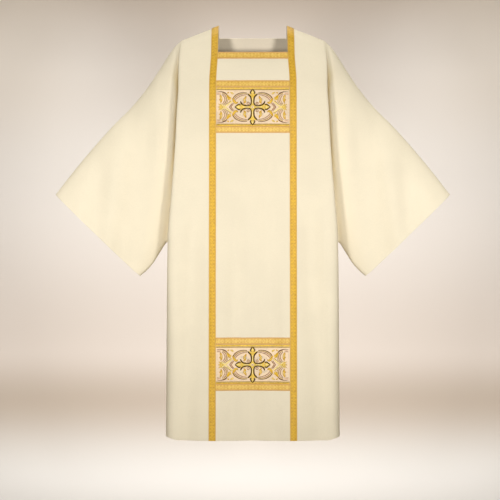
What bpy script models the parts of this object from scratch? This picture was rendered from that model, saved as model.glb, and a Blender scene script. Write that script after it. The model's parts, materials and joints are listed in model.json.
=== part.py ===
"""Dalmatic: a deacon's wide-sleeved vestment, hanging filled out as it does on a wearer.

The cloth is a thin wall in four pieces. A front and a back panel meet at the shoulder and side
seams, and a sleeve tube is sewn into each armhole. Gold braid frames the square neck and runs down
each panel in two stripes. Two ornamented bands, each between two braids, cross the front.

Units are metres and +Z is up. The front faces -Y. The origin lies midway between the neck ends of
the two shoulder seams, where the wearer's shoulders carry the garment.
"""

from collections import namedtuple

import bmesh
import bpy
import numpy as np

# Cloth and seams
CLOTH = 0.0016  # wall of the lined cloth
SEAM_GAP = 0.0003  # between neighbouring pieces
MOST_MITRE = 2.0  # a mitred wall is at most this many times as deep at a sharp seam
LENGTH = 1.2007  # from the neck end of a shoulder seam down to the hem
UNDERARM = 0.630  # drop of the underarm point, where the side seam starts

# Neck and shoulders
NECK_HALF = 0.0995
NECK_FRONT_DROP = 0.0845
NECK_BACK_DROP = 0.030
SHOULDER_FALL = 0.39  # drop for each metre out from the neck
SHOULDER_LEVEL = 0.25  # drop by which the slanting shoulder has turned level
SHOULDER_ROUND = 0.035  # height of the rounded top of the shoulder

# Braid and bands
BRAID_WIDTH = 0.0205
BRAID_THICK = 0.0012
BAND_THICK = 0.0009
BAND_HEIGHT = 0.111
CHEST_BAND_TOP = 0.169
LOWER_BAND_TOP = 0.906

# Armholes
ARMHOLE_DEPTH = 0.060  # how far the armhole reaches forward and back at its middle
TOP_HEAVY = 0.25  # armholes and sleeves are this much deeper near the arm
ROLL_TURN = np.radians(55)  # how far the panel's edge turns in at the armhole

# Columns of a panel's half, from the centre line out: up to the stripe, from the stripe to the
# bend, and round the bend that turns in to the armhole or the side seam
CENTRE_COLUMNS = 4
OUTER_COLUMNS = 8
BEND_COLUMNS = 4
LEAST_BEND = 0.012
CROWDING = 1.5  # how much closer together the outer columns lie near the bend
SECTION_POINTS = 160  # points of a section before its columns are spaced out on it

BodySection = namedtuple("BodySection", "drop half_width front back squareness side_flat")
BODY = (
    BodySection(0.000, 0.2086, 0.048, 0.046, 2.4, 0.010),
    BodySection(0.040, 0.2150, 0.064, 0.058, 2.5, 0.012),
    BodySection(0.100, 0.2175, 0.092, 0.082, 2.7, 0.022),
    BodySection(0.180, 0.2195, 0.117, 0.104, 3.0, 0.030),
    BodySection(0.260, 0.2218, 0.127, 0.110, 3.2, 0.034),
    BodySection(0.360, 0.2248, 0.128, 0.108, 3.3, 0.036),
    BodySection(0.510, 0.2390, 0.127, 0.106, 3.4, 0.036),
    BodySection(0.630, 0.2508, 0.129, 0.109, 3.6, 0.034),
    BodySection(0.900, 0.2515, 0.136, 0.120, 4.0, 0.016),
    BodySection(LENGTH, 0.2535, 0.146, 0.132, 4.2, 0.014),
)

# The neck side of each stripe, by drop
StripeEdge = namedtuple("StripeEdge", "drop inner")
STRIPE = (
    StripeEdge(0.000, 0.0995),
    StripeEdge(0.080, 0.1002),
    StripeEdge(0.175, 0.1050),
    StripeEdge(LENGTH, 0.1060),
)

# How far the panel's edge is tucked in behind its own front at the armhole, by share of its height
Tuck = namedtuple("Tuck", "share tuck")
TUCKS = (
    Tuck(0.00, 0.000),
    Tuck(0.10, 0.000),
    Tuck(0.22, 0.009),
    Tuck(0.55, 0.012),
    Tuck(0.85, 0.007),
    Tuck(1.00, 0.000),
)

# The arm line along a sleeve's top, and its under seam, by share of the sleeve's length
SleeveRing = namedtuple("SleeveRing", "share top_x top_z under_x under_z depth")
SLEEVE = (
    SleeveRing(0.00, 0.2086, -0.0426, 0.2508, -0.6300, 0.060),
    SleeveRing(0.05, 0.2300, -0.0630, 0.2535, -0.6345, 0.060),
    SleeveRing(0.19, 0.2742, -0.1295, 0.2620, -0.6480, 0.060),
    SleeveRing(0.29, 0.3068, -0.1784, 0.2700, -0.6610, 0.058),
    SleeveRing(0.42, 0.3537, -0.2367, 0.2805, -0.6780, 0.056),
    SleeveRing(0.56, 0.4143, -0.2977, 0.2920, -0.6955, 0.052),
    SleeveRing(0.81, 0.5078, -0.4049, 0.3145, -0.7200, 0.047),
    SleeveRing(1.00, 0.5778, -0.4937, 0.3310, -0.7334, 0.043),
)
SLEEVE_SHARES = (0, 0.03, 0.07, 0.12, 0.19, 0.27, 0.35, 0.44, 0.53, 0.62, 0.71, 0.80, 0.90, 1)
ARMHOLE_REACH = 0.12  # share of the sleeve over which it leaves the armhole's own line
CUFF_ROUND = 0.07  # share by which the cuff's lower corner is rounded back
CUFF_CORNER = 0.93  # and where that starts, as a share from the arm line down

# Drops of the panels' rows. Those of the neck edges, braids and bands are added to these
PLAIN_DROPS = (
    0.0, 0.003, 0.010, 0.019, 0.067, 0.135, 0.245, 0.400, 0.480, 0.560, 0.605,
    UNDERARM, 0.700, 0.780, 0.845, 0.982, 1.130, LENGTH,
)  # fmt: skip

# Soft folds, each down a slanting line. The panels' are mirrored to the other half, and the
# sleeves' are those of the right-hand one, front and back. A negative depth is a trough
Fold = namedtuple("Fold", "top_drop top_x end_drop end_x width depth")
FRONT_FOLDS = (
    Fold(0.52, 0.150, 1.30, 0.186, 0.050, -0.0085),
    Fold(0.66, 0.085, 1.30, 0.110, 0.045, 0.0040),
    Fold(0.86, 0.020, 1.30, 0.030, 0.070, -0.0035),
)
BACK_FOLDS = (
    Fold(0.28, 0.150, 1.30, 0.178, 0.050, -0.0100),
    Fold(0.36, 0.105, 1.30, 0.125, 0.040, 0.0040),
    Fold(0.34, 0.055, 1.30, 0.064, 0.045, -0.0070),
    Fold(0.30, 0.000, 1.30, 0.000, 0.050, 0.0035),
)
SLEEVE_FOLDS = (
    Fold(0.20, 0.252, 0.70, 0.290, 0.040, 0.0040),
    Fold(0.22, 0.306, 0.70, 0.372, 0.056, -0.0075),
    Fold(0.30, 0.378, 0.70, 0.432, 0.045, 0.0040),
    Fold(0.36, 0.440, 0.72, 0.480, 0.052, -0.0050),
)
FOLD_FADE = 0.16  # a fold deepens over this drop
UNDER_SEAM_CALM = 0.15  # and a sleeve's dies away over this share before the under seam

CREAM, GOLD, ROSE = (0.84, 0.74, 0.55), (0.76, 0.47, 0.09), (0.72, 0.55, 0.38)


def along(table, column, at):
    """A column of a table at each value of its first column, on a curve that never overshoots."""
    x = np.array([row[0] for row in table])
    y = np.array([getattr(row, column) for row in table])
    step = np.diff(x)
    slope = np.diff(y) / step
    tangent = np.concatenate([slope[:1], np.zeros(len(x) - 2), slope[-1:]])
    for i in range(1, len(x) - 1):
        if slope[i - 1] * slope[i] > 0:
            tangent[i] = 2 * slope[i - 1] * slope[i] / (slope[i - 1] + slope[i])
    i = np.clip(np.searchsorted(x, at, side="right") - 1, 0, len(step) - 1)
    t = (at - x[i]) / step[i]
    ends = y[i] * (1 + 2 * t) * (1 - t) ** 2 + y[i + 1] * t**2 * (3 - 2 * t)
    return ends + step[i] * (tangent[i] * t * (1 - t) ** 2 - tangent[i + 1] * t**2 * (1 - t))


def eased(t):
    """0 below 0, 1 above 1 and a smooth step between."""
    t = np.clip(t, 0, 1)
    return t * t * (3 - 2 * t)


def unit(vectors):
    return vectors / np.maximum(np.linalg.norm(vectors, axis=-1, keepdims=True), 1e-12)


def tube_depth(depth, down):
    """Half the depth of an armhole or sleeve ring at a share of its height, from the arm down."""
    return depth * 2 * np.sqrt(down * (1 - down)) * (1 + TOP_HEAVY * (1 - 2 * down))


def half_section(drop, side):
    """One half of a panel's section, as dense points (x, forward), from the centre to its edge."""
    width = along(BODY, "half_width", drop)
    squareness = along(BODY, "squareness", drop)
    rounding = np.sqrt(1 - (1 - min(drop / SHOULDER_ROUND, 1)) ** 2)
    depth = along(BODY, side, drop) * rounding
    share = min(drop / UNDERARM, 1)
    edge = tube_depth(ARMHOLE_DEPTH, share)
    flat = min(along(BODY, "side_flat", drop), (depth - edge) / 2)
    corner = edge + flat
    theta = np.linspace(np.pi / 2, 0, SECTION_POINTS)
    x = width * np.cos(theta) ** (2 / squareness)
    forward = corner + (depth - corner) * np.sin(theta) ** (2 / squareness)
    turn = np.linspace(0, ROLL_TURN, SECTION_POINTS // 4)[1:]
    tuck = along(TUCKS, "tuck", share)
    turned = (1 - np.cos(turn)) / (1 - np.cos(ROLL_TURN))
    x = np.concatenate([x, width - tuck * turned])
    forward = np.concatenate([forward, corner - flat * np.sin(turn) / np.sin(ROLL_TURN)])
    x[0] = 0
    return x, forward


def half_row(drop, side):
    """One half of a panel's row: its columns' (x, forward), from the centre line to the edge."""
    x, forward = half_section(drop, side)
    length = np.concatenate([[0], np.cumsum(np.hypot(np.diff(x), np.diff(forward)))])
    front_part = slice(0, SECTION_POINTS)
    inner = along(STRIPE, "inner", drop)
    stripe = np.interp([inner, inner + BRAID_WIDTH], x[front_part], length[front_part])
    bend = min(length[SECTION_POINTS - 1], length[-1] - LEAST_BEND)
    crowded = 1 - (1 - np.linspace(0, 1, OUTER_COLUMNS + 1)) ** CROWDING
    spots = np.concatenate([
        np.linspace(0, stripe[0], CENTRE_COLUMNS + 1),
        stripe[1] + (bend - stripe[1]) * crowded,
        np.linspace(bend, length[-1], BEND_COLUMNS + 1)[1:],
    ])
    return np.interp(spots, length, x), np.interp(spots, length, forward)


def fold_height(folds, x, drop):
    """How far a piece's folds stand forward, or back on the garment's back, at a place on it."""
    height = np.zeros(np.shape(x))
    for fold in folds:
        t = (drop - fold.top_drop) / (fold.end_drop - fold.top_drop)
        centre = fold.top_x + (fold.end_x - fold.top_x) * np.clip(t, 0, 1)
        fade = eased((drop - fold.top_drop) / FOLD_FADE)
        for mirrored in (centre, -centre):
            away = np.clip((x - mirrored) / fold.width, -1, 1)
            height = height + fold.depth * fade * (1 + np.cos(np.pi * away)) / 2
    return height


def panel_grid(drops, side, folds):
    """A panel's outer points, row by row down from the shoulder and column by column from -X."""
    facing = -1 if side == "front" else 1
    rows = []
    for drop in drops:
        half_x, half_forward = half_row(drop, side)
        x = np.concatenate([-half_x[:0:-1], half_x])
        forward = np.concatenate([half_forward[:0:-1], half_forward])
        slant = SHOULDER_FALL * np.maximum(np.abs(x) - NECK_HALF, 0)
        z = -drop - slant * (1 - eased(drop / SHOULDER_LEVEL))
        rows.append(np.stack([x, facing * forward, z], axis=-1))
    grid = np.array(rows)
    height = fold_height(folds, grid[..., 0], np.array(drops)[:, None])
    height[:, [0, -1]] = 0  # a fold dies away at the side seam, where the panels are sewn
    height[:, [1, -2]] /= 2
    grid[..., 1] += facing * height
    return grid


def grid_normals(grid, ring=False):
    """Unit normals of a grid of points: towards +Y on a panel, and outward on a sleeve, whose
    columns join up in a ring."""
    down = np.gradient(grid, axis=0)
    if ring:
        across = np.roll(grid, -1, axis=1) - np.roll(grid, 1, axis=1)
    else:
        across = np.gradient(grid, axis=1)
    return unit(np.cross(across, down))


def sleeve_grid(armhole, shares):
    """A right-hand sleeve's outer points, ring by ring. A ring runs from the arm line down the
    front to the under seam, and up the back."""
    half = len(armhole) // 2
    down = np.array([min(drop / UNDERARM, 1) for drop in armhole_drops()])
    down = np.concatenate([down, down[-2:0:-1]])
    facing = np.where(np.arange(len(down)) <= half, -1, 1)
    rounded_back = CUFF_ROUND * eased((down - CUFF_CORNER) / (1 - CUFF_CORNER))
    place = np.array(shares)[:, None] * (1 - rounded_back)
    ring = {name: along(SLEEVE, name, place) for name in SleeveRing._fields[1:]}
    x = ring["top_x"] + (ring["under_x"] - ring["top_x"]) * down
    z = ring["top_z"] + (ring["under_z"] - ring["top_z"]) * down
    y = facing * tube_depth(ring["depth"], down)
    grid = np.stack([x, y, z], axis=-1)
    leaving = 1 - eased(place / ARMHOLE_REACH)
    grid += (armhole - grid[0]) * leaving[..., None]
    calm = (1 - leaving) * eased((1 - down) / UNDER_SEAM_CALM)
    grid[..., 1] += facing * fold_height(SLEEVE_FOLDS, x, -z) * calm
    return grid


def all_drops():
    """Drops of the panels' rows, down from the shoulder."""
    edges = [NECK_BACK_DROP, NECK_BACK_DROP + BRAID_WIDTH]
    edges += [NECK_FRONT_DROP, NECK_FRONT_DROP + BRAID_WIDTH]
    for top in (CHEST_BAND_TOP, LOWER_BAND_TOP):
        edges += [top, top + BRAID_WIDTH]
        edges += [top + BRAID_WIDTH + BAND_HEIGHT, top + 2 * BRAID_WIDTH + BAND_HEIGHT]
    return sorted([*PLAIN_DROPS, *edges])


def armhole_drops():
    return [drop for drop in all_drops() if drop <= UNDERARM]


class Piece:
    """A piece's outer points and the outward direction at each, by row and column."""

    def __init__(self, points, outward):
        self.points = points.copy()
        self.outward = outward.copy()

    def moved_out(self, height):
        return self.points + self.outward * height

    def part(self, rows, columns):
        """The stretch between two rows and two columns."""
        patch = (slice(rows[0], rows[1] + 1), slice(columns[0], columns[1] + 1))
        return Piece(self.points[patch], self.outward[patch])

    def trimmed(self, gap):
        """Draws all four edges in, along the piece itself."""
        points = self.points.copy()
        points[0] += unit(self.points[1] - self.points[0]) * gap
        points[-1] += unit(self.points[-2] - self.points[-1]) * gap
        points[:, 0] += unit(self.points[:, 1] - self.points[:, 0]) * gap
        points[:, -1] += unit(self.points[:, -2] - self.points[:, -1]) * gap
        return Piece(points, self.outward)


Edge = namedtuple("Edge", "piece at inside")  # a piece's edge points, and their neighbours inside


def sew(first, second):
    """Parts two edges that lie on one line by the seam's gap, and mitres their walls together."""
    into_first, into_second = (
        unit(edge.piece.points[edge.inside] - edge.piece.points[edge.at])
        for edge in (first, second)
    )
    apart = unit(into_first - into_second) * SEAM_GAP / 2
    first.piece.points[first.at] += apart
    second.piece.points[second.at] -= apart
    both = first.piece.outward[first.at] + second.piece.outward[second.at]
    together = np.linalg.norm(both, axis=-1, keepdims=True)
    mitred = unit(both) * 2 / np.maximum(together, 2 / MOST_MITRE)
    first.piece.outward[first.at] = second.piece.outward[second.at] = mitred


def sew_all(front, back, sleeve):
    """Sews the shoulder, side and armhole seams of the panels and the right-hand sleeve, and then
    mirrors the panels' right edges to the left."""
    last = len(armhole_drops()) - 1
    ring = len(sleeve.points[0])
    side, armhole = np.arange(last, len(front.points)), np.arange(last + 1)
    sew(*(Edge(panel, (0,), (1,)) for panel in (front, back)))
    sew(*(Edge(panel, (side, -1), (side, -2)) for panel in (front, back)))
    for panel, columns in ((front, armhole), (back, -armhole % ring)):
        sew(Edge(panel, (armhole, -1), (armhole, -2)), Edge(sleeve, (0, columns), (1, columns)))
    for row, column in ((0, 0), (last, last)):
        meeting = ((front, (row, -1)), (back, (row, -1)), (sleeve, (0, column)))
        shared = unit(sum(piece.outward[at] for piece, at in meeting))
        for piece, at in meeting:
            piece.outward[at] = shared
    mirror = np.array([-1, 1, 1])
    for panel in (front, back):
        panel.points[:, 0] = panel.points[:, -1] * mirror
        panel.outward[:, 0] = panel.outward[:, -1] * mirror


def material(name, colour, roughness, metallic):
    made = bpy.data.materials.new(name)
    made.use_nodes = True
    shader = made.node_tree.nodes["Principled BSDF"]
    shader.inputs["Base Color"].default_value = (*colour, 1)
    shader.inputs["Roughness"].default_value = roughness
    shader.inputs["Metallic"].default_value = metallic
    made.diffuse_color = (*colour, 1)
    return made


def solid(name, outer, inner, collection, finish, ring=False, skip=None):
    """A closed wall between an outer and an inner grid of points. Each cell is split along the
    diagonal that lies further out, so pieces that lie on each other are split alike. skip(row,
    column) leaves a cell out, and every open edge that remains gets a rim."""
    rows, columns = outer.shape[:2]
    mesh = bmesh.new()
    skins = [
        [[mesh.verts.new(point) for point in row] for row in grid] for grid in (outer, inner)
    ]
    rim = set()
    for row in range(rows - 1):
        for column in range(columns if ring else columns - 1):
            if skip and skip(row, column):
                continue
            beside = (column + 1) % columns
            corners = [(row, column), (row + 1, column), (row + 1, beside), (row, beside)]
            a, b, c, d = (outer[corner] for corner in corners)
            if np.dot(a + c - b - d, outer[row, column] - inner[row, column]) < 0:
                corners = corners[1:] + corners[:1]
            for triangle in (corners[:3], [corners[0], *corners[2:]]):
                mesh.faces.new([skins[0][r][c] for r, c in triangle])
                mesh.faces.new([skins[1][r][c] for r, c in reversed(triangle)])
            for start, end in zip(corners, corners[1:] + corners[:1]):
                if (end, start) in rim:
                    rim.remove((end, start))
                else:
                    rim.add((start, end))
    for start, end in sorted(rim):
        (a, b), (d, c) = [[skin[row][column] for row, column in (start, end)] for skin in skins]
        if a.co.z > b.co.z:  # the rims of two sewn edges are split along the same diagonals
            mesh.faces.new([b, a, c])
            mesh.faces.new([a, d, c])
        else:
            mesh.faces.new([b, a, d])
            mesh.faces.new([b, d, c])
    loose = [vert for vert in mesh.verts if not vert.link_faces]
    bmesh.ops.delete(mesh, geom=loose, context="VERTS")
    bmesh.ops.recalc_face_normals(mesh, faces=mesh.faces)
    data = bpy.data.meshes.new(name)
    mesh.to_mesh(data)
    mesh.free()
    data.materials.append(finish)
    made = bpy.data.objects.new(name, data)
    collection.objects.link(made)
    data.shade_smooth()
    data.set_sharp_from_angle(angle=np.radians(40))
    return made


def over_shoulder(front, back, columns):
    """The stretch of cloth between two columns, from the front hem to the back hem."""
    across = slice(columns[0], columns[1] + 1)
    joined = []
    for field in ("points", "outward"):
        ahead, behind = (getattr(panel, field)[:, across] for panel in (front, back))
        joined.append(np.concatenate([ahead[:0:-1], (ahead[:1] + behind[:1]) / 2, behind[1:]]))
    return Piece(*joined)


def trim(name, stretch, thickness, collection, finish):
    """A strip of braid or band that lies on a stretch of cloth, made from its points."""
    strip = stretch.trimmed(SEAM_GAP / 2)
    outer, inner = strip.moved_out(SEAM_GAP + thickness), strip.moved_out(SEAM_GAP)
    solid(name, outer, inner, collection, finish)


def cloth_pieces():
    """The panels and the right-hand sleeve, with the gaps of their seams."""
    drops = all_drops()
    last = len(armhole_drops()) - 1
    front_points = panel_grid(drops, "front", FRONT_FOLDS)
    back_points = panel_grid(drops, "back", BACK_FOLDS)
    armhole = np.concatenate([front_points[: last + 1, -1], back_points[last - 1 : 0 : -1, -1]])
    sleeve_points = sleeve_grid(armhole, SLEEVE_SHARES)
    front = Piece(front_points, -grid_normals(front_points))
    back = Piece(back_points, grid_normals(back_points))
    sleeve = Piece(sleeve_points, grid_normals(sleeve_points, ring=True))
    sew_all(front, back, sleeve)
    return drops, front, back, sleeve


def main():
    for made in list(bpy.data.objects):
        bpy.data.objects.remove(made)
    garment = bpy.data.collections.new("dalmatic")
    bpy.context.scene.collection.children.link(garment)
    cream = material("cream_cloth", CREAM, 0.75, 0.0)
    gold = material("gold_braid", GOLD, 0.45, 0.3)
    rose = material("ornamented_band", ROSE, 0.6, 0.0)

    drops, front, back, sleeve = cloth_pieces()
    row_at = {round(drop, 6): row for row, drop in enumerate(drops)}
    middle = CENTRE_COLUMNS + 1 + OUTER_COLUMNS + BEND_COLUMNS
    neck = (middle - CENTRE_COLUMNS, middle + CENTRE_COLUMNS)

    for name, panel, neck_drop in (
        ("front", front, NECK_FRONT_DROP),
        ("back", back, NECK_BACK_DROP),
    ):
        neck_row = row_at[round(neck_drop, 6)]
        braid_row = row_at[round(neck_drop + BRAID_WIDTH, 6)]
        solid(
            f"{name}_panel",
            panel.points,
            panel.moved_out(-CLOTH),
            garment,
            cream,
            skip=lambda row, column: row < neck_row and neck[0] <= column < neck[1],
        )
        stretch = panel.part((neck_row, braid_row), neck)
        trim(f"neck_braid_{name}", stretch, BRAID_THICK, garment, gold)

    for name, top in (("chest", CHEST_BAND_TOP), ("lower", LOWER_BAND_TOP)):
        edges = [top, top + BRAID_WIDTH, top + BRAID_WIDTH + BAND_HEIGHT]
        edges.append(edges[-1] + BRAID_WIDTH)
        rows = [row_at[round(edge, 6)] for edge in edges]
        trim(f"{name}_braid_upper", front.part(rows[0:2], neck), BRAID_THICK, garment, gold)
        trim(f"{name}_band", front.part(rows[1:3], neck), BAND_THICK, garment, rose)
        trim(f"{name}_braid_lower", front.part(rows[2:4], neck), BRAID_THICK, garment, gold)

    for hand, columns in (("left", (neck[0] - 1, neck[0])), ("right", (neck[1], neck[1] + 1))):
        stretch = over_shoulder(front, back, columns)
        trim(f"stripe_{hand}", stretch, BRAID_THICK, garment, gold)

    for hand, mirror in (("right", 1), ("left", -1)):
        across = np.array([mirror, 1, 1])
        outer, inner = sleeve.points * across, sleeve.moved_out(-CLOTH) * across
        solid(f"sleeve_{hand}", outer, inner, garment, cream, ring=True)


main()
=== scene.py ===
"""Dalmatic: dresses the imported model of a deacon's vestment with its cloth, braid and embroidery.

Cream cloth hangs as on a wearer, with gold braid sewn round the square neck and down the two
stripes, and two embroidered bands between braids. Units are metres and +Z is up. The front faces
-Y, and the origin lies midway between the neck ends of the shoulder seams. In names, right is +X
and left is -X, as in a view of the front.
"""

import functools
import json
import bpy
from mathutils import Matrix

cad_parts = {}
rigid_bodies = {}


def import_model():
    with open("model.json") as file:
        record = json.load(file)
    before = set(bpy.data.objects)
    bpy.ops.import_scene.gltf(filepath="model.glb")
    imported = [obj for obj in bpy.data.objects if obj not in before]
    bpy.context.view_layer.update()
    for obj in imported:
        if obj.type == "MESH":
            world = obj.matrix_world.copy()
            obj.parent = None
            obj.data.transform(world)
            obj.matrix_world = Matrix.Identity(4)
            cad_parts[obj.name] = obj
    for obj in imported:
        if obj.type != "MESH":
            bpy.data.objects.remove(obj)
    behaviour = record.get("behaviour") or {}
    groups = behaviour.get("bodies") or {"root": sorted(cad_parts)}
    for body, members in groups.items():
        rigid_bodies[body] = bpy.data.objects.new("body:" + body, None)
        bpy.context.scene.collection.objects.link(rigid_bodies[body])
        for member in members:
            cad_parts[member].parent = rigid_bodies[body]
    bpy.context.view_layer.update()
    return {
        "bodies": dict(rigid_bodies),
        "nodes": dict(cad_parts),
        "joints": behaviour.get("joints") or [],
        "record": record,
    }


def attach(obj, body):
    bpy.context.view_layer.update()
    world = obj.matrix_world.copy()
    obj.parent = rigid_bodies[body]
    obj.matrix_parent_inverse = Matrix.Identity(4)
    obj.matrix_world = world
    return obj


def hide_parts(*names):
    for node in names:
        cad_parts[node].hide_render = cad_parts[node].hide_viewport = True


bl_info = {
    "name": "Dalmatic",
    "version": (1, 0, 0),
    "blender": (4, 5, 0),
    "location": "View3D > Sidebar > Dalmatic",
    "description": "A deacon's dalmatic in cream cloth, gold braid and embroidered bands",
    "category": "Object",
}

from collections import namedtuple

import bpy
import numpy as np
from bpy.props import FloatProperty, FloatVectorProperty, IntProperty, PointerProperty
from mathutils import Vector

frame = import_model()

# ---------------------------------------------------------------------------------------------
# The cut and the hang of the garment, on the form of its solids
# ---------------------------------------------------------------------------------------------

CLOTH = 0.0016  # wall of the cloth
SEAM_GAP = 0.0003  # between neighbouring pieces
MOST_MITRE = 2.0  # a mitred wall is at most this many times as deep at a sharp seam
LENGTH = 1.2007  # from the neck end of a shoulder seam down to the hem
UNDERARM = 0.630  # drop of the underarm point, where the side seam starts

NECK_HALF = 0.0995  # from the middle to a side of the square neck
NECK_FRONT_DROP = 0.0845
NECK_BACK_DROP = 0.030
SHOULDER_FALL = 0.39  # drop for each metre out from the neck
SHOULDER_LEVEL = 0.25  # drop by which the slanting shoulder has turned level
SHOULDER_ROUND = 0.035  # height of the rounded top of the shoulder

BRAID_WIDTH = 0.0205
BRAID_THICK = 0.0012
BAND_THICK = 0.0009
BAND_HEIGHT = 0.111
CHEST_BAND_TOP = 0.169
LOWER_BAND_TOP = 0.906

ARMHOLE_DEPTH = 0.060  # how far the armhole reaches forward and back at its middle
TOP_HEAVY = 0.25  # armholes and sleeves are this much deeper near the arm
ROLL_TURN = np.radians(55)  # how far the panel's edge turns in at the armhole
MOST_FLAT = 0.68  # most of the room beside an armhole that its panel's flat side takes up
CROWN = 0.22  # share of a panel's section that is evenly rounded, over one that is squarer
CROWN_POWER = 3.4
LEAST_BEND = 0.012  # least width of the columns that turn in at the armhole
CROWDING = 1.5  # how much closer together the outer columns lie near the bend
SECTION_POINTS = 420  # points of a section before its columns are spaced out on it


def named_rows(fields, *rows):
    """A table of numbers, with a name for each of its columns."""
    row_type = namedtuple("Row", fields)
    return [row_type(*row) for row in rows]


BODY = named_rows(
    "drop half_width front back squareness side_flat",
    (0.000, 0.2086, 0.048, 0.046, 2.4, 0.010),
    (0.040, 0.2140, 0.064, 0.058, 3.4, 0.014),
    (0.100, 0.2152, 0.092, 0.082, 6.5, 0.028),
    (0.180, 0.2150, 0.117, 0.104, 10.0, 0.040),
    (0.260, 0.2190, 0.127, 0.110, 15.0, 0.047),
    (0.360, 0.2238, 0.128, 0.108, 20.0, 0.048),
    (0.510, 0.2358, 0.127, 0.106, 22.0, 0.050),
    (0.630, 0.2453, 0.129, 0.109, 20.0, 0.048),
    (0.900, 0.2488, 0.136, 0.120, 8.6, 0.037),
    (LENGTH, 0.2515, 0.146, 0.132, 6.8, 0.032),
)

STRIPE = named_rows(
    "drop inner",
    (0.000, 0.0995),
    (0.080, 0.1002),
    (0.175, 0.1050),
    (LENGTH, 0.1060),
)

TUCKS = named_rows(
    "share tuck",
    (0.00, 0.000),
    (0.10, 0.000),
    (0.22, 0.005),
    (0.55, 0.005),
    (0.85, 0.004),
    (1.00, 0.000),
)

SLEEVE = named_rows(
    "share top_x top_z under_x under_z depth",
    (0.00, 0.2086, -0.0426, 0.2508, -0.6300, 0.060),
    (0.05, 0.2300, -0.0630, 0.2535, -0.6345, 0.060),
    (0.19, 0.2742, -0.1295, 0.2620, -0.6480, 0.060),
    (0.29, 0.3068, -0.1784, 0.2700, -0.6610, 0.058),
    (0.42, 0.3537, -0.2367, 0.2805, -0.6780, 0.056),
    (0.56, 0.4143, -0.2977, 0.2920, -0.6955, 0.052),
    (0.81, 0.5078, -0.4049, 0.3145, -0.7200, 0.047),
    (1.00, 0.5778, -0.4937, 0.3310, -0.7334, 0.043),
)
ARMHOLE_REACH = 0.09  # share of the sleeve over which it leaves the armhole's own line
HEM_RISE = 0.009  # how much higher the hem is at the side seams
HEM_RISE_REACH = 0.034  # over this width beside a seam
HEM_RISE_HEIGHT = 0.070  # and the cloth above follows up to this height
CUFF_ROUND = 0.015  # share by which the cuff's lower corner is rounded back
CUFF_CORNER = 0.93  # and where that starts, as a share from the arm line down

# Soft folds, each down a slanting line. A negative depth is a trough
FOLD = "top_drop top_x end_drop end_x width depth"
FRONT_FOLDS = named_rows(
    FOLD,
    (0.46, 0.160, 1.30, 0.200, 0.048, -0.0110),
    (0.60, 0.085, 1.30, 0.110, 0.045, 0.0045),
    (0.30, 0.040, 1.30, 0.062, 0.040, -0.0028),
    (0.92, 0.000, 1.30, 0.000, 0.060, -0.0060),
)
BACK_FOLDS = named_rows(
    FOLD,
    (0.28, 0.150, 1.30, 0.178, 0.050, -0.0100),
    (0.36, 0.105, 1.30, 0.125, 0.040, 0.0040),
    (0.34, 0.055, 1.30, 0.064, 0.045, -0.0070),
    (0.30, 0.000, 1.30, 0.000, 0.050, 0.0035),
)
SLEEVE_FOLDS = named_rows(
    FOLD,
    (0.20, 0.262, 0.70, 0.300, 0.040, 0.0012),
    (0.22, 0.306, 0.70, 0.372, 0.056, -0.0060),
    (0.30, 0.378, 0.70, 0.432, 0.045, 0.0040),
    (0.36, 0.440, 0.72, 0.480, 0.052, -0.0050),
)
FOLD_FADE = 0.16  # a fold deepens over this drop
WAVES_FADE = 0.30  # and the cloth's unevenness over this one on the panels
SLEEVE_WAVES_FADE = 0.12  # and over this share of a sleeve's height
EDGE_CALM = 0.030  # both die away over this width beside a panel's edge
UNDER_SEAM_CALM = 0.15  # and a sleeve's dies away over this share before the under seam

# The cloth is pressed in along the armhole seam, behind the panel's edge
TROUGHS = named_rows(
    "share depth",
    (0.00, 0.000),
    (0.05, 0.000),
    (0.12, 0.008),
    (0.19, 0.023),
    (0.28, 0.040),
    (0.54, 0.040),
    (0.64, 0.023),
    (0.78, 0.011),
    (0.94, 0.009),
    (1.00, 0.000),
)
SEAM_SOFTNESS = 0.012  # the sleeve's cloth beside the seam is evened out over this distance
EVENED_TO = 0.13  # as far as this from the seam
EVENED_FADE = 0.04  # and less so over the last of it
EDGE_CROWDING = 1.5  # power by which a panel's turned edge moves more near the seam
TROUGH_REACH = 0.030  # how far from the seam the trough reaches on the sleeve
# A warm shade is painted into the cloth's colour along each armhole seam, deepest where the trough is
# deepest
SHADE_REACH = 0.050  # the shade painted warm and dark into the cloth's colour at the trough's bottom reaches this far on the sleeve
SHADE_COLUMNS = 9  # and over this many columns at a panel's edge
SHADE_FADE = 0.6  # share of that reach over which the painted shade dies away
SHADE_POWER = 1.5  # power of the trough's share of its depth that gives the painted shade's
SHADE_TINT = (0.86, 0.74, 0.38)  # painted shade: the cloth's colour is multiplied by this where the shade is full, standing in for the warm light that comes there from cloth to cloth

# Finer columns and rows than the solids'
CENTRE_COLUMNS = 24
STRIPE_SHARES = (0.0, 0.05, 0.16, 0.34, 0.5, 0.66, 0.84, 0.95, 1.0)
OUTER_COLUMNS = 22
BEND_COLUMNS = 14
BEND_CROWDING = 1.7
PLAIN_DROPS = (0.0, 0.0015, 0.003, 0.006, 0.010, 0.019, UNDERARM, LENGTH - 0.0016, LENGTH)
SLEEVE_STARTS = (0.0, 0.0025, 0.006, 0.012)  # shares of the rings close to the armhole seam
SLEEVE_ENDS = (0.9972, 1.0)
SLEEVE_RUN = 0.55  # metres along a sleeve, to space its rings as the panels' rows are


def cubic(start, end, leaving, arriving, t, step):
    """Values between two others a step apart, at shares t of the way, by the slopes there."""
    ends = start * (1 + 2 * t) * (1 - t) ** 2 + end * t**2 * (3 - 2 * t)
    return ends + step * (leaving * t * (1 - t) ** 2 - arriving * t**2 * (1 - t))


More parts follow.
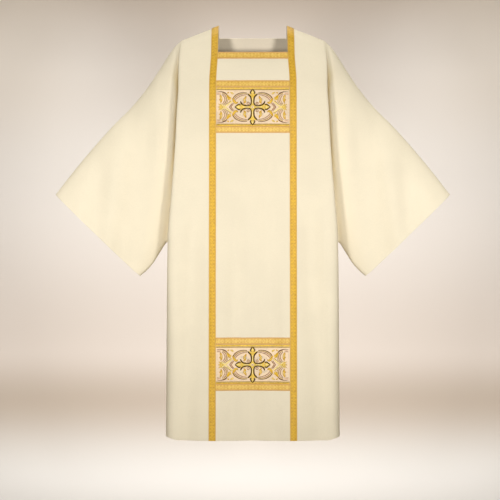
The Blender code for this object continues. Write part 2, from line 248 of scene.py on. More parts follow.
def along(table, column, at):
    """A column of a table at each value of its first column, on a curve that never overshoots."""
    x = np.array([row[0] for row in table])
    y = np.array([getattr(row, column) for row in table])
    step = np.diff(x)
    slope = np.diff(y) / step
    tangent = np.concatenate([slope[:1], np.zeros(len(x) - 2), slope[-1:]])
    for i in range(1, len(x) - 1):
        if slope[i - 1] * slope[i] > 0:
            tangent[i] = 2 * slope[i - 1] * slope[i] / (slope[i - 1] + slope[i])
    i = np.clip(np.searchsorted(x, at, side="right") - 1, 0, len(step) - 1)
    return cubic(y[i], y[i + 1], tangent[i], tangent[i + 1], (at - x[i]) / step[i], step[i])


def eased(t):
    """0 below 0, 1 above 1 and a smooth step between."""
    t = np.clip(t, 0, 1)
    return t * t * (3 - 2 * t)


def unit(vectors):
    return vectors / np.maximum(np.linalg.norm(vectors, axis=-1, keepdims=True), 1e-12)


def steps(grid, axis=0):
    """Distances between neighbouring points along one axis of a grid."""
    return np.linalg.norm(np.diff(grid, axis=axis), axis=-1)


def run_along(grid, axis=0):
    """Distance of each point from the first one along that axis, over the points between."""
    step = steps(grid, axis)
    return np.concatenate([0 * step.take([0], axis), np.cumsum(step, axis=axis)], axis=axis)


def tube_depth(depth, down):
    """Half the depth of an armhole or sleeve ring at a share of its height, from the arm down."""
    return depth * 2 * np.sqrt(down * (1 - down)) * (1 + TOP_HEAVY * (1 - 2 * down))


def half_section(drop, side):
    """One half of a panel's section, as dense points (x, forward), from the centre to its edge."""
    width = along(BODY, "half_width", drop)
    squareness = along(BODY, "squareness", drop)
    rounding = np.sqrt(1 - (1 - min(drop / SHOULDER_ROUND, 1)) ** 2)
    depth = along(BODY, side, drop) * rounding
    share = min(drop / UNDERARM, 1)
    edge = tube_depth(ARMHOLE_DEPTH, share)
    flat = min(along(BODY, "side_flat", drop), (depth - edge) * MOST_FLAT)
    corner = edge + flat
    theta = np.linspace(np.pi / 2, 0, SECTION_POINTS)
    x = width * np.cos(theta) ** (2 / squareness)
    squared = np.sin(theta) ** (2 / squareness)
    crowned = np.maximum(1 - (x / width) ** CROWN_POWER, 0) ** (1 / CROWN_POWER)
    forward = corner + (depth - corner) * (squared + CROWN * (crowned - squared))
    turn = np.linspace(0, ROLL_TURN, SECTION_POINTS // 4)[1:]
    tuck = along(TUCKS, "tuck", share)
    turned = (1 - np.cos(turn)) / (1 - np.cos(ROLL_TURN))
    x = np.concatenate([x, width - tuck * turned])
    forward = np.concatenate([forward, corner - flat * np.sin(turn) / np.sin(ROLL_TURN)])
    x[0] = 0
    return x, forward


def half_row(drop, side):
    """One half of a panel's row: its columns' (x, forward), from the centre line to the edge."""
    x, forward = half_section(drop, side)
    length = run_along(np.stack([x, forward], axis=-1))
    front_part = slice(0, SECTION_POINTS)
    inner = along(STRIPE, "inner", drop)
    stripe = np.interp([inner, inner + BRAID_WIDTH], x[front_part], length[front_part])
    bend = min(length[SECTION_POINTS - 1], length[-1] - LEAST_BEND)
    crowded = 1 - (1 - np.linspace(0, 1, OUTER_COLUMNS + 1)) ** CROWDING
    turned = 1 - (1 - np.linspace(0, 1, BEND_COLUMNS + 1)) ** BEND_CROWDING
    spots = np.concatenate([
        np.linspace(0, stripe[0], CENTRE_COLUMNS + 1),
        stripe[0] + (stripe[1] - stripe[0]) * np.array(STRIPE_SHARES[1:]),
        (stripe[1] + (bend - stripe[1]) * crowded)[1:],
        (bend + (length[-1] - bend) * turned)[1:],
    ])
    return np.interp(spots, length, x), np.interp(spots, length, forward)


def fold_height(folds, x, drop):
    """How far a piece's folds stand forward, or back on the garment's back, at a place on it."""
    height = np.zeros(np.shape(x))
    for fold in folds:
        t = (drop - fold.top_drop) / (fold.end_drop - fold.top_drop)
        centre = fold.top_x + (fold.end_x - fold.top_x) * np.clip(t, 0, 1)
        fade = eased((drop - fold.top_drop) / FOLD_FADE)
        for mirrored in (centre, -centre):
            away = np.clip((x - mirrored) / fold.width, -1, 1)
            height = height + fold.depth * fade * (1 + np.cos(np.pi * away)) / 2
    return height


RIPPLES = named_rows(
    "across down phase height",
    (0.118, 0.93, 0.4, 0.00060),
    (0.071, -0.61, 2.1, 0.00035),
    (0.167, 0.44, 4.0, 0.00080),
    (0.049, 1.70, 1.2, 0.00018),
)


def unevenness(x, z):
    """The slight, uneven waviness of hanging cloth, by place on the garment."""
    waves = [
        ripple.height * np.sin(2 * np.pi * (x / ripple.across + z / ripple.down) + ripple.phase)
        for ripple in RIPPLES
    ]
    return sum(waves)


def panel_grid(drops, side, folds, waviness):
    """A panel's outer points, row by row down from the shoulder and column by column from -X."""
    facing = -1 if side == "front" else 1
    rows = []
    for drop in drops:
        half_x, half_forward = half_row(drop, side)
        x = np.concatenate([-half_x[:0:-1], half_x])
        forward = np.concatenate([half_forward[:0:-1], half_forward])
        slant = SHOULDER_FALL * np.maximum(np.abs(x) - NECK_HALF, 0)
        z = -drop - slant * (1 - eased(drop / SHOULDER_LEVEL))
        beside_seam = np.clip((np.abs(x) - half_x[-1] + HEM_RISE_REACH) / HEM_RISE_REACH, 0, 1)
        z += HEM_RISE * beside_seam * eased((drop - LENGTH + HEM_RISE_HEIGHT) / HEM_RISE_HEIGHT)
        rows.append(np.stack([x, facing * forward, z], axis=-1))
    grid = np.array(rows)
    down = np.array(drops)[:, None]
    from_edge = run_along(grid, axis=1)
    from_edge = np.minimum(from_edge, from_edge[:, -1:] - from_edge)
    wavy = unevenness(grid[..., 0], grid[..., 2]) * eased(down / WAVES_FADE) * waviness
    height = fold_height(folds, grid[..., 0], down) + wavy
    grid[..., 1] += facing * height * eased(from_edge / EDGE_CALM)
    return grid


def grid_normals(grid, ring=False):
    """Unit normals of a grid of points: towards +Y on a panel, and outward on a sleeve, whose
    columns join up in a ring."""
    down = np.gradient(grid, axis=0)
    if ring:
        across = np.roll(grid, -1, axis=1) - np.roll(grid, 1, axis=1)
    else:
        across = np.gradient(grid, axis=1)
    return unit(np.cross(across, down))


def sleeve_grid(armhole, shares, drops, waviness):
    """A right-hand sleeve's outer points, ring by ring. A ring runs from the arm line down the
    front to the under seam, and up the back."""
    half = len(armhole) // 2
    down = np.array([min(drop / UNDERARM, 1) for drop in drops])
    down = np.concatenate([down, down[-2:0:-1]])
    facing = np.where(np.arange(len(down)) <= half, -1, 1)
    rounded_back = CUFF_ROUND * eased((down - CUFF_CORNER) / (1 - CUFF_CORNER))
    place = np.array(shares)[:, None] * (1 - rounded_back)
    ring = {name: along(SLEEVE, name, place) for name in SLEEVE[0]._fields[1:]}
    x = ring["top_x"] + (ring["under_x"] - ring["top_x"]) * down
    z = ring["top_z"] + (ring["under_z"] - ring["top_z"]) * down
    y = facing * tube_depth(ring["depth"], down)
    grid = np.stack([x, y, z], axis=-1)
    leaving = 1 - eased(place / ARMHOLE_REACH)
    grid += (armhole - grid[0]) * leaving[..., None]
    calm = (1 - leaving) * eased((1 - down) / UNDER_SEAM_CALM)
    wavy = unevenness(x * facing, z) * eased(down / SLEEVE_WAVES_FADE) * waviness
    grid[..., 1] += facing * (fold_height(SLEEVE_FOLDS, x, -z) + wavy) * calm
    return grid


def press_seam(panel, sleeve, drops, last, facing):
    """Presses the cloth in along an armhole seam: a panel's turned edge and the sleeve's side."""
    depth = along(TROUGHS, "depth", np.array(drops[: last + 1]) / UNDERARM)
    turned = np.linspace(0, 1, BEND_COLUMNS + 1)[1:] ** EDGE_CROWDING
    for columns in (slice(-BEND_COLUMNS, None), slice(BEND_COLUMNS - 1, None, -1)):
        panel[: last + 1, columns, 1] -= facing * depth[:, None] * turned
    columns = np.arange(last + 1) if facing < 0 else -np.arange(last + 1) % sleeve.shape[1]
    side = sleeve[:, columns]
    from_seam = run_along(side)
    fade = np.clip(1 - from_seam / TROUGH_REACH, 0, 1) ** 3
    pressed = side[..., 1] - facing * depth * fade
    spacing = np.gradient(from_seam, axis=0)
    apart = from_seam[:, None] - from_seam[None]
    weight = np.exp(-((apart / SEAM_SOFTNESS) ** 2)) * spacing[None]
    even = (weight * pressed[None]).sum(axis=1) / weight.sum(axis=1)
    share = eased(from_seam / SEAM_SOFTNESS) * eased((EVENED_TO - from_seam) / EVENED_FADE)
    sleeve[:, columns, 1] = pressed + (even - pressed) * share


def seam_shade(seam_drops, from_seam, reach):
    """How deep points lie in the shade painted into an armhole's cloth, from 0 to 1, by the drop of
    the seam beside.
    """
    share = np.clip(np.array(seam_drops) / UNDERARM, 0, 1)
    deepest = max(one.depth for one in TROUGHS)
    depth = along(TROUGHS, "depth", share) / deepest
    return depth**SHADE_POWER * eased((1 - from_seam / reach) / SHADE_FADE)


def refined(marks, step):
    """The marks, with even steps between them that are no longer than step."""
    marks = sorted(set(marks))
    spaced = []
    for start, end in zip(marks, marks[1:]):
        count = max(1, int(np.ceil((end - start) / step - 1e-9)))
        spaced += [start + (end - start) * i / count for i in range(count)]
    return [*spaced, marks[-1]]


def all_drops(step):
    """Drops of the panels' rows, down from the shoulder."""
    edges = [NECK_BACK_DROP, NECK_BACK_DROP + BRAID_WIDTH]
    edges += [NECK_FRONT_DROP, NECK_FRONT_DROP + BRAID_WIDTH]
    for top in (CHEST_BAND_TOP, LOWER_BAND_TOP):
        bottom = top + 2 * BRAID_WIDTH + BAND_HEIGHT
        edges += [top, top + BRAID_WIDTH, bottom - BRAID_WIDTH, bottom]
    return refined([*PLAIN_DROPS, *edges], step)


class Piece:
    """A piece's outer points and the outward direction at each, by row and column."""

    def __init__(self, points, outward):
        self.points = points.copy()
        self.outward = outward.copy()

    def moved_out(self, height):
        return self.points + self.outward * height


Edge = namedtuple("Edge", "piece at inside")  # a piece's edge points, and their neighbours inside


def sew(first, second):
    """Parts two edges that lie on one line by the seam's gap, and mitres their walls together."""
    into_first, into_second = (
        unit(edge.piece.points[edge.inside] - edge.piece.points[edge.at])
        for edge in (first, second)
    )
    apart = unit(into_first - into_second) * SEAM_GAP / 2
    first.piece.points[first.at] += apart
    second.piece.points[second.at] -= apart
    both = first.piece.outward[first.at] + second.piece.outward[second.at]
    together = np.linalg.norm(both, axis=-1, keepdims=True)
    mitred = unit(both) * 2 / np.maximum(together, 2 / MOST_MITRE)
    first.piece.outward[first.at] = second.piece.outward[second.at] = mitred


def sew_all(front, back, sleeve, last):
    """Sews the shoulder, side and armhole seams of the panels and the right-hand sleeve, and then
    mirrors the panels' right edges to the left."""
    ring = len(sleeve.points[0])
    side, armhole = np.arange(last, len(front.points)), np.arange(last + 1)
    sew(*(Edge(panel, (0,), (1,)) for panel in (front, back)))
    sew(*(Edge(panel, (side, -1), (side, -2)) for panel in (front, back)))
    for panel, columns in ((front, armhole), (back, -armhole % ring)):
        sew(Edge(panel, (armhole, -1), (armhole, -2)), Edge(sleeve, (0, columns), (1, columns)))
    for row, column in ((0, 0), (last, last)):
        meeting = ((front, (row, -1)), (back, (row, -1)), (sleeve, (0, column)))
        shared = unit(sum(piece.outward[at] for piece, at in meeting))
        for piece, at in meeting:
            piece.outward[at] = shared
    mirror = np.array([-1, 1, 1])
    for panel in (front, back):
        panel.points[:, 0] = panel.points[:, -1] * mirror
        panel.outward[:, 0] = panel.outward[:, -1] * mirror


Cut = namedtuple("Cut", "drops front back sleeve")


@functools.lru_cache(maxsize=2)
def cut_garment(step, waviness):
    """The panels and the right-hand sleeve, sewn together, at a spacing of their rows."""
    drops = all_drops(step)
    last = drops.index(UNDERARM)
    front_points = panel_grid(drops, "front", FRONT_FOLDS, waviness)
    back_points = panel_grid(drops, "back", BACK_FOLDS, waviness)
    armhole = np.concatenate([front_points[: last + 1, -1], back_points[last - 1 : 0 : -1, -1]])
    shares = refined([*SLEEVE_STARTS, *SLEEVE_ENDS], step / SLEEVE_RUN)
    sleeve_points = sleeve_grid(armhole, shares, drops[: last + 1], waviness)
    press_seam(front_points, sleeve_points, drops, last, -1)
    press_seam(back_points, sleeve_points, drops, last, 1)
    front = Piece(front_points, -grid_normals(front_points))
    back = Piece(back_points, grid_normals(back_points))
    sleeve = Piece(sleeve_points, grid_normals(sleeve_points, ring=True))
    sew_all(front, back, sleeve, last)
    return Cut(drops, front, back, sleeve)


def row_at(drops, drop):
    return int(np.argmin(np.abs(np.array(drops) - drop)))


MIDDLE = CENTRE_COLUMNS + len(STRIPE_SHARES) - 1 + OUTER_COLUMNS + BEND_COLUMNS
NECK_COLUMNS = (MIDDLE - CENTRE_COLUMNS, MIDDLE + CENTRE_COLUMNS)
STRIPE_COLUMNS = {
    "left": (NECK_COLUMNS[0] - len(STRIPE_SHARES) + 1, NECK_COLUMNS[0]),
    "right": (NECK_COLUMNS[1], NECK_COLUMNS[1] + len(STRIPE_SHARES) - 1),
}

# ---------------------------------------------------------------------------------------------
# Meshes from grids
# ---------------------------------------------------------------------------------------------

SHELL_SHARP = 50  # edges of a shell stay sharp where they turn by more degrees


def lengths_on(grid):
    """Metres across from the middle column, and metres down from the first row, of each point."""
    across = run_along(grid, axis=1)
    across -= across[:, across.shape[1] // 2][:, None]
    return across, run_along(grid)


def linked(name, data):
    """A new object in the scene."""
    made = bpy.data.objects.new(name, data)
    bpy.context.scene.collection.objects.link(made)
    return made


def smooth_piece(name, points, faces, finishes, which, places, sharp, shade=None):
    """An object with a finish for each face, and metres across and down as its UV map. Edges
    that turn by more than a number of degrees stay sharp. shade, a painted shade for the
    cloth's colour, is kept for each point."""
    mesh = bpy.data.meshes.new(name)
    mesh.from_pydata(points, [], faces)
    for finish in finishes:
        mesh.materials.append(finish)
    mesh.polygons.foreach_set("material_index", np.array(which, np.int32))
    layer = mesh.uv_layers.new(name="lay")
    layer.uv.foreach_set("vector", np.array(places, np.float32).ravel())
    if shade is not None:
        kept = mesh.attributes.new("shade", "FLOAT", "POINT")
        kept.data.foreach_set("value", shade.astype(np.float32))
    mesh.validate()
    mesh.shade_smooth()
    mesh.set_sharp_from_angle(angle=np.radians(sharp))
    return linked(name, mesh)


def shell(name, outer, inner, finishes, ring=False, skip=None, laid=None, shade=None):
    """A closed wall between an outer and an inner grid of points, whose UV map is laid or else
    measured. skip(row, column) leaves a cell out, and every open edge gets a rim. The first
    finish is the outside's and the last the inside's. shade is the painted shade for the
    outside's points, kept on the mesh for the cloth's colour."""
    rows, columns = outer.shape[:2]
    across, down = lengths_on(outer) if laid is None else laid
    if ring:
        wrap = np.linalg.norm(outer[:, 0] - outer[:, -1], axis=-1) + across[:, -1]
        across = np.concatenate([across, wrap[:, None]], axis=1)
        down = np.concatenate([down, down[:, :1]], axis=1)
    tops, bottoms = outer.reshape(-1, 3), inner.reshape(-1, 3)
    under = rows * columns
    row, column = np.mgrid[: rows - 1, : columns if ring else columns - 1]
    keep = np.ones(row.shape, bool) if skip is None else ~skip(row, column)
    row, column = row[keep], column[keep]
    corner = np.stack([row, row + 1, row + 1, row], axis=-1)
    beside = np.stack([column, column, column + 1, column + 1], axis=-1)
    cells = corner * columns + beside % columns
    laid_out = np.stack([across[corner, beside], down[corner, beside]], axis=-1)
    a, b, c = tops[cells[0, :3]]
    if np.cross(b - a, c - a) @ (tops - bottoms)[cells[0, 0]] < 0:
        cells, laid_out = cells[:, ::-1], laid_out[:, ::-1]
    starts, ends = cells.ravel(), np.roll(cells, -1, axis=1).ravel()
    open_edge = ~np.isin(starts * under + ends, ends * under + starts)
    starts, ends = starts[open_edge], ends[open_edge]
    place = laid_out.reshape(-1, 2)[open_edge]
    end_place = np.roll(laid_out, -1, axis=1).reshape(-1, 2)[open_edge]
    rim = np.stack([ends, starts, starts + under, ends + under], axis=-1)
    rim_place = np.stack([end_place, place, place, end_place], axis=1)
    faces = np.concatenate([cells, cells[:, ::-1] + under, rim])
    places = np.concatenate([laid_out, laid_out[:, ::-1], rim_place])
    which = np.zeros(len(faces), int)
    which[len(cells) : 2 * len(cells)] = len(finishes) - 1
    used, faces = np.unique(faces, return_inverse=True)
    points, faces = np.concatenate([tops, bottoms])[used].tolist(), faces.reshape(-1, 4).tolist()
    if shade is not None:
        shade = np.concatenate([shade.ravel(), np.zeros(under)])[used]
    return smooth_piece(name, points, faces, finishes, which, places, SHELL_SHARP, shade)


def edge_heights(shape, rows=(), columns=()):
    """A grid of heights that is 0 but for the named rows and columns: (index, height) pairs."""
    height = np.zeros(shape)
    for row, value in rows:
        height[row] = np.minimum(height[row], value)
    for column, value in columns:
        height[:, column] = np.minimum(height[:, column], value)
    return height[..., None]


SEAM_SINK = ((0, -0.0007), (1, -0.0002))  # cloth rolls in at a seam
UNDER_SEAM_SINK = ((0, -0.0006), (-1, -0.0002), (1, -0.0002))  # and on both sides of a sleeve's
HEM_ROLL = ((-1, -0.0005),)  # and is rounded off at a hem's edge
HEM_DEPTH = 0.030
HEM_THICK = 0.0009
HEM_STEP = 0.002  # over which a turned-up hem ends


def hem_turn(down_from_hem):
    """How much thicker the wall is inside, where the hem is turned up."""
    return HEM_THICK * eased((HEM_DEPTH - down_from_hem) / HEM_STEP)


def wear(made, node=None):
    """The piece rides with the garment, and may stand for a solid, which it then hides."""
    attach(made, "root")
    if node is not None:
        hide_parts(node)
    return made


# ---------------------------------------------------------------------------------------------
# Finishes
# ---------------------------------------------------------------------------------------------


class Nodes:
    """Adds nodes to a tree, with their inputs linked or set by name or index."""

    def __init__(self, tree):
        self.tree = tree

    def add(self, kind, inputs=None, **settings):
        node = self.tree.nodes.new(kind)
        for name, value in settings.items():
            setattr(node, name, value)
        for name, value in (inputs or {}).items():
            if isinstance(value, bpy.types.NodeSocket):
                self.tree.links.new(value, node.inputs[name])
            else:
                node.inputs[name].default_value = value
        return node

    def out(self, kind, inputs=None, **settings):
        """The first output of a new node."""
        return self.add(kind, inputs, **settings).outputs[0]

    def math(self, operation, *values):
        return self.out("ShaderNodeMath", dict(enumerate(values)), operation=operation)

    def times(self, first, second):
        return self.math("MULTIPLY", first, second)

    def plus(self, first, second):
        return self.math("ADD", first, second)

    def vector(self, operation, first, second):
        inputs = {0: first, "Scale" if operation == "SCALE" else 1: second}
        return self.out("ShaderNodeVectorMath", inputs, operation=operation)

    def parts(self, vector):
        return self.add("ShaderNodeSeparateXYZ", {0: vector}).outputs

    def wave(self, turn):
        """From 0 to 1 and back over each half turn, in radians."""
        return self.math("ABSOLUTE", self.math("SINE", turn))

    def noise(self, place, scale, detail):
        inputs = {"Vector": place, "Scale": scale, "Detail": detail}
        return self.add("ShaderNodeTexNoise", inputs).outputs["Fac"]

    def remap(self, value, low, high):
        """0 at low, 1 at high, and smooth between."""
        inputs = {"Value": value, "From Min": low, "From Max": high}
        return self.out("ShaderNodeMapRange", inputs, interpolation_type="SMOOTHSTEP")

    def mixed(self, share, first, second):
        """A colour between two, by a share."""
        inputs = {0: share}
        for index, colour in ((6, first), (7, second)):
            is_output = isinstance(colour, bpy.types.NodeSocket)
            inputs[index] = colour if is_output else (*colour, 1)
        return self.add("ShaderNodeMix", inputs, data_type="RGBA").outputs[2]

    def ramp(self, value, stops):
        """A colour that runs through stops of (place, colour), with the places from 0 to 1."""
        node = self.add("ShaderNodeValToRGB", {"Fac": value})
        node.color_ramp.interpolation = "EASE"
        elements = node.color_ramp.elements
        for place, _ in stops[1:-1]:
            elements.new(place)
        for element, (place, colour) in zip(elements, stops):
            element.position, element.color = place, (*colour, 1)
        return node.outputs["Color"]


def effect(name, numbers):
    """A new shader node group that reads a place and some numbers: its nodes and its inputs."""
    group = bpy.data.node_groups.new(name, "ShaderNodeTree")
    group.interface.new_socket("Place", in_out="INPUT", socket_type="NodeSocketVector")
    for label, value in numbers.items():
        socket = group.interface.new_socket(label, in_out="INPUT", socket_type="NodeSocketFloat")
        socket.default_value = value
    nodes = Nodes(group)
    return nodes, nodes.add("NodeGroupInput").outputs


def completed(nodes, outputs):
    """The group, once it puts out some numbers."""
    for label in outputs:
        nodes.tree.interface.new_socket(label, in_out="OUTPUT", socket_type="NodeSocketFloat")
    nodes.add("NodeGroupOutput", outputs)
    return nodes.tree


@functools.cache
def weave_effect():
    """A plain weave: over-and-under threads, with slubs that make some threads thicker."""
    nodes, entry = effect("plain weave", {"Threads per metre": 1100.0, "Slub": 0.35})
    across, down, _ = nodes.parts(nodes.vector("SCALE", entry["Place"], entry["Threads per metre"]))
    warp, weft = (nodes.wave(nodes.times(way, np.pi)) for way in (across, down))
    square = nodes.plus(nodes.math("FLOOR", across), nodes.math("FLOOR", down))
    height = nodes.out("ShaderNodeMix", {0: nodes.math("PINGPONG", square, 1.0), 2: warp, 3: weft})
    slubs = nodes.noise(nodes.vector("MULTIPLY", entry["Place"], (30.0, 420.0, 1.0)), 1.0, 2.0)
    lumps = nodes.times(slubs, entry["Slub"])
    return completed(nodes, {"Height": nodes.plus(height, lumps), "Tone": slubs})


@functools.cache
def braid_effect():
    """A woven braid's pattern: a row of lozenges with ribs between, and a corded edge."""
    nodes, entry = effect(
        "woven braid",
        {"Width": BRAID_WIDTH, "Repeat": BRAID_REPEAT, "Middle": 0.6, "Ribs per metre": 900.0},
    )
    across, down, _ = nodes.parts(entry["Place"])
    half = nodes.times(entry["Width"], 0.5)
    out = nodes.math("DIVIDE", nodes.math("ABSOLUTE", across), half)
    repeats = nodes.math("DIVIDE", down, entry["Repeat"])
    saw = nodes.times(nodes.math("PINGPONG", repeats, 0.5), 2.0)
    away = nodes.plus(saw, nodes.times(out, 1.35))
    core = nodes.times(nodes.remap(away, 0.52, 0.30), 0.55)
    ring = nodes.math("SUBTRACT", nodes.remap(away, 1.16, 0.84), core)
    edge = nodes.remap(out, entry["Middle"], nodes.plus(entry["Middle"], 0.2))
    slanted = nodes.plus(down, nodes.times(across, 0.6))
    turns = nodes.times(slanted, entry["Ribs per metre"])
    rib = nodes.wave(nodes.times(turns, np.pi))
    raised = nodes.math("MAXIMUM", ring, nodes.times(edge, 0.7))
    height = nodes.plus(raised, nodes.times(rib, 0.35))
    return completed(nodes, {"Height": height, "Lozenge": ring, "Edge": edge})


@functools.cache
def mottling_effect():
    """The uneven tone of dyed cloth, in large soft patches and small ones."""
    nodes, entry = effect("mottling", {"Patch": 9.0})
    large = nodes.noise(entry["Place"], entry["Patch"], 3.0)
    fine = nodes.times(nodes.noise(entry["Place"], 260.0, 1.0), 0.3)
    tone = nodes.math("MULTIPLY_ADD", large, 0.7, fine)
    return completed(nodes, {"Tone": nodes.remap(tone, 0.36, 0.64)})


class Finish(Nodes):
    """The nodes of a new material."""

    def __init__(self, name):
        self.material = bpy.data.materials.new(name)
        self.material.use_nodes = True
        super().__init__(self.material.node_tree)
        self.tree.nodes.clear()

    def lay(self):
        """Metres across and along the cloth or thread."""
        return self.out("ShaderNodeUVMap", uv_map="lay")

    def place(self):
        return self.add("ShaderNodeTexCoord").outputs["Object"]

    def effect(self, group, inputs):
        return self.add("ShaderNodeGroup", inputs, node_tree=group).outputs

    def mottle(self, place, patch=9.0):
        return self.effect(mottling_effect(), {"Place": place, "Patch": patch})["Tone"]

    def completed(self, looks, strength=0.0, distance=0.0, height=None):
        """The material, once its shader has these looks and a bump of some height."""
        if height is not None:
            bump = {"Strength": strength, "Distance": distance, "Height": height}
            looks["Normal"] = self.out("ShaderNodeBump", bump)
        shader = self.out("ShaderNodeBsdfPrincipled", looks)
        self.add("ShaderNodeOutputMaterial", {"Surface": shader})
        return self.material


def darker(colour, share):
    return [channel * share for channel in colour]


def cloth_finish(name, colour, threads, roughness, sheen, contrast):
    """Dyed cloth in a plain weave, with a warm shade painted into its colour where the mesh's shade
    attribute is set.
    """
    nodes = Finish(name)
    weave = nodes.effect(weave_effect(), {"Place": nodes.lay(), "Threads per metre": threads})
    dark, light = darker(colour, 1 - contrast), darker(colour, 1 + contrast / 2)
    toned = nodes.mixed(nodes.mottle(nodes.place()), dark, light)
    slub = nodes.times(nodes.remap(weave["Tone"], 0.55, 0.8), 0.25)
    slubbed = nodes.mixed(slub, toned, darker(colour, 0.93))
    # painted shade: the colour turns darker and warmer by the mesh's shade attribute
    shade = nodes.add("ShaderNodeAttribute", attribute_name="shade").outputs["Fac"]
    deep = [part * tint for part, tint in zip(colour, SHADE_TINT)]
    looks = {
        "Base Color": nodes.mixed(shade, slubbed, deep),
        "Roughness": nodes.math("MULTIPLY_ADD", weave["Tone"], 0.12, roughness - 0.06),
        "Sheen Weight": sheen,
        "Sheen Roughness": 0.45,
        "Sheen Tint": (1.0, 0.9, 0.7, 1),
        "Specular IOR Level": 0.15,
    }
    return nodes.completed(looks, 0.35, 0.0003, weave["Height"])


def braid_finish(name, deep, bright, edging, middle, lustre):
    """Metallic braid: bright lozenges on a deeper ground, and an edge of its own colour."""
    nodes = Finish(name)
    woven = nodes.effect(braid_effect(), {"Place": nodes.lay(), "Middle": middle})
    mottle = nodes.mottle(nodes.place(), 130.0)
    bloom = nodes.math("MULTIPLY_ADD", woven["Lozenge"], 0.5, nodes.times(mottle, 0.5))
    varied = nodes.mixed(bloom, deep, bright)
    looks = {
        "Base Color": nodes.mixed(nodes.times(woven["Edge"], 0.85), varied, edging),
        "Roughness": nodes.math("MULTIPLY_ADD", mottle, 0.14, 0.42),
        "Metallic": lustre,
        "Sheen Weight": 0.12,
    }
    return nodes.completed(looks, 0.7, 0.0004, woven["Height"])


def thread_finish(name, colour, lustre, roughness):
    """Satin stitch: fine threads laid side by side across a stroke."""
    nodes = Finish(name)
    across, down, _ = nodes.parts(nodes.lay())
    slanted = nodes.math("MULTIPLY_ADD", across, 0.35, down)
    thread = nodes.wave(nodes.times(slanted, 1700.0 * np.pi))
    mottle = nodes.mottle(nodes.place(), 150.0)
    toned = nodes.mixed(mottle, darker(colour, 0.84), darker(colour, 1.12))
    # painted shade: darker colour in the grooves between the threads than on their crowns
    shaded = nodes.mixed(nodes.times(thread, 0.3), darker(colour, 0.8), toned)
    looks = {
        "Base Color": nodes.mixed(0.75, shaded, toned),
        "Roughness": roughness,
        "Metallic": lustre,
        "Sheen Weight": 0.03,
        "Specular IOR Level": 0.2,
    }
    return nodes.completed(looks, 0.5, 0.0002, thread)


def plain_finish(name, colour, roughness):
    """Plain twisted thread, for hemming stitches."""
    nodes = Finish(name)
    mottle = nodes.mottle(nodes.place(), 400.0)
    looks = {
        "Base Color": nodes.mixed(mottle, darker(colour, 0.85), darker(colour, 1.1)),
        "Roughness": nodes.math("MULTIPLY_ADD", mottle, 0.1, roughness),
    }
    return nodes.completed(looks)


# ---------------------------------------------------------------------------------------------
# Pieces laid on the cloth
# ---------------------------------------------------------------------------------------------


class Laid:
    """A stretch of cloth that trims lie on, read at any place between its points."""

    def __init__(self, piece, drops, columns):
        self.points, self.outward = piece.points, piece.outward
        self.drops, self.columns = np.array(drops, float), columns

    def at(self, drop, share):
        """Points and outward directions at drops, and at shares across between the columns."""
        row = np.interp(drop, self.drops, np.arange(len(self.drops)))
        column = self.columns[0] + (self.columns[1] - self.columns[0]) * np.asarray(share)
        row, column = np.broadcast_arrays(row, column)
        r = np.clip(row.astype(int), 0, self.points.shape[0] - 2)
        c = np.clip(column.astype(int), 0, self.points.shape[1] - 2)
        t, s = (row - r)[..., None], (column - c)[..., None]
        read = []
        for field in (self.points, self.outward):
            upper = field[r, c] * (1 - s) + field[r, c + 1] * s
            lower = field[r + 1, c] * (1 - s) + field[r + 1, c + 1] * s
            read.append(upper * (1 - t) + lower * t)
        return read[0], unit(read[1])


def over_shoulder(front, back, columns):
    """The stretch of cloth between two columns, from the front hem to the back hem."""
    across = slice(columns[0], columns[1] + 1)
    joined = []
    for field in ("points", "outward"):
        ahead, behind = (getattr(panel, field)[:, across] for panel in (front, back))
        joined.append(np.concatenate([ahead[:0:-1], (ahead[:1] + behind[:1]) / 2, behind[1:]]))
    return Piece(joined[0], unit(joined[1]))


BRAID_PROFILE = (-1.0, -0.975, -0.90, -0.74, -0.5, -0.25, 0.0, 0.25, 0.5, 0.74, 0.90, 0.975, 1.0)
BRAID_REPEAT = 0.0098
BRAID_RELIEF = 0.00028
BRAID_STEP = 0.0022
BRAID_END = 0.35  # height of a braid's cut end, as a share of its thickness
UNDERSIDE = 0.0001  # a trim's underside is this far over the cloth


def braid_height(across, along_it):
    """Height of a braid's face above its cloth: corded edges, and lozenges down the middle."""
    out = np.abs(across)
    saw = np.abs((along_it / BRAID_REPEAT) % 1.0 - 0.5) * 2
    lozenge = 1 - eased((saw + out * 1.35 - 0.84) / 0.32)
    cord = np.exp(-(((out - 0.88) / 0.08) ** 2))
    rounded = 0.25 + 0.75 * (1 - out**14)
    face = BRAID_THICK - BRAID_RELIEF + BRAID_RELIEF * np.maximum(lozenge, 0.8 * cord)
    return SEAM_GAP + face * rounded


def braid(name, node, at, length, finish):
    """A strip of braid. at(along, across) gives points and outward directions on its cloth, for
    metres along the braid and -1 to 1 across it."""
    along_it = np.linspace(0, length, int(round(length / BRAID_STEP)) + 1)[:, None]
    across = np.array(BRAID_PROFILE)[None, :]
    inset = SEAM_GAP / 2 / (BRAID_WIDTH / 2)
    points, outward = at(np.clip(along_it, SEAM_GAP / 2, length - SEAM_GAP / 2), across * (1 - inset))
    height = braid_height(across, along_it)
    height[[0, -1]] = SEAM_GAP + BRAID_THICK * BRAID_END
    along_it, across = np.broadcast_arrays(along_it, across)
    laid = across * BRAID_WIDTH / 2, along_it
    outer, inner = points + outward * height[..., None], points + outward * UNDERSIDE
    wear(shell(name, outer, inner, [finish], laid=laid), node)


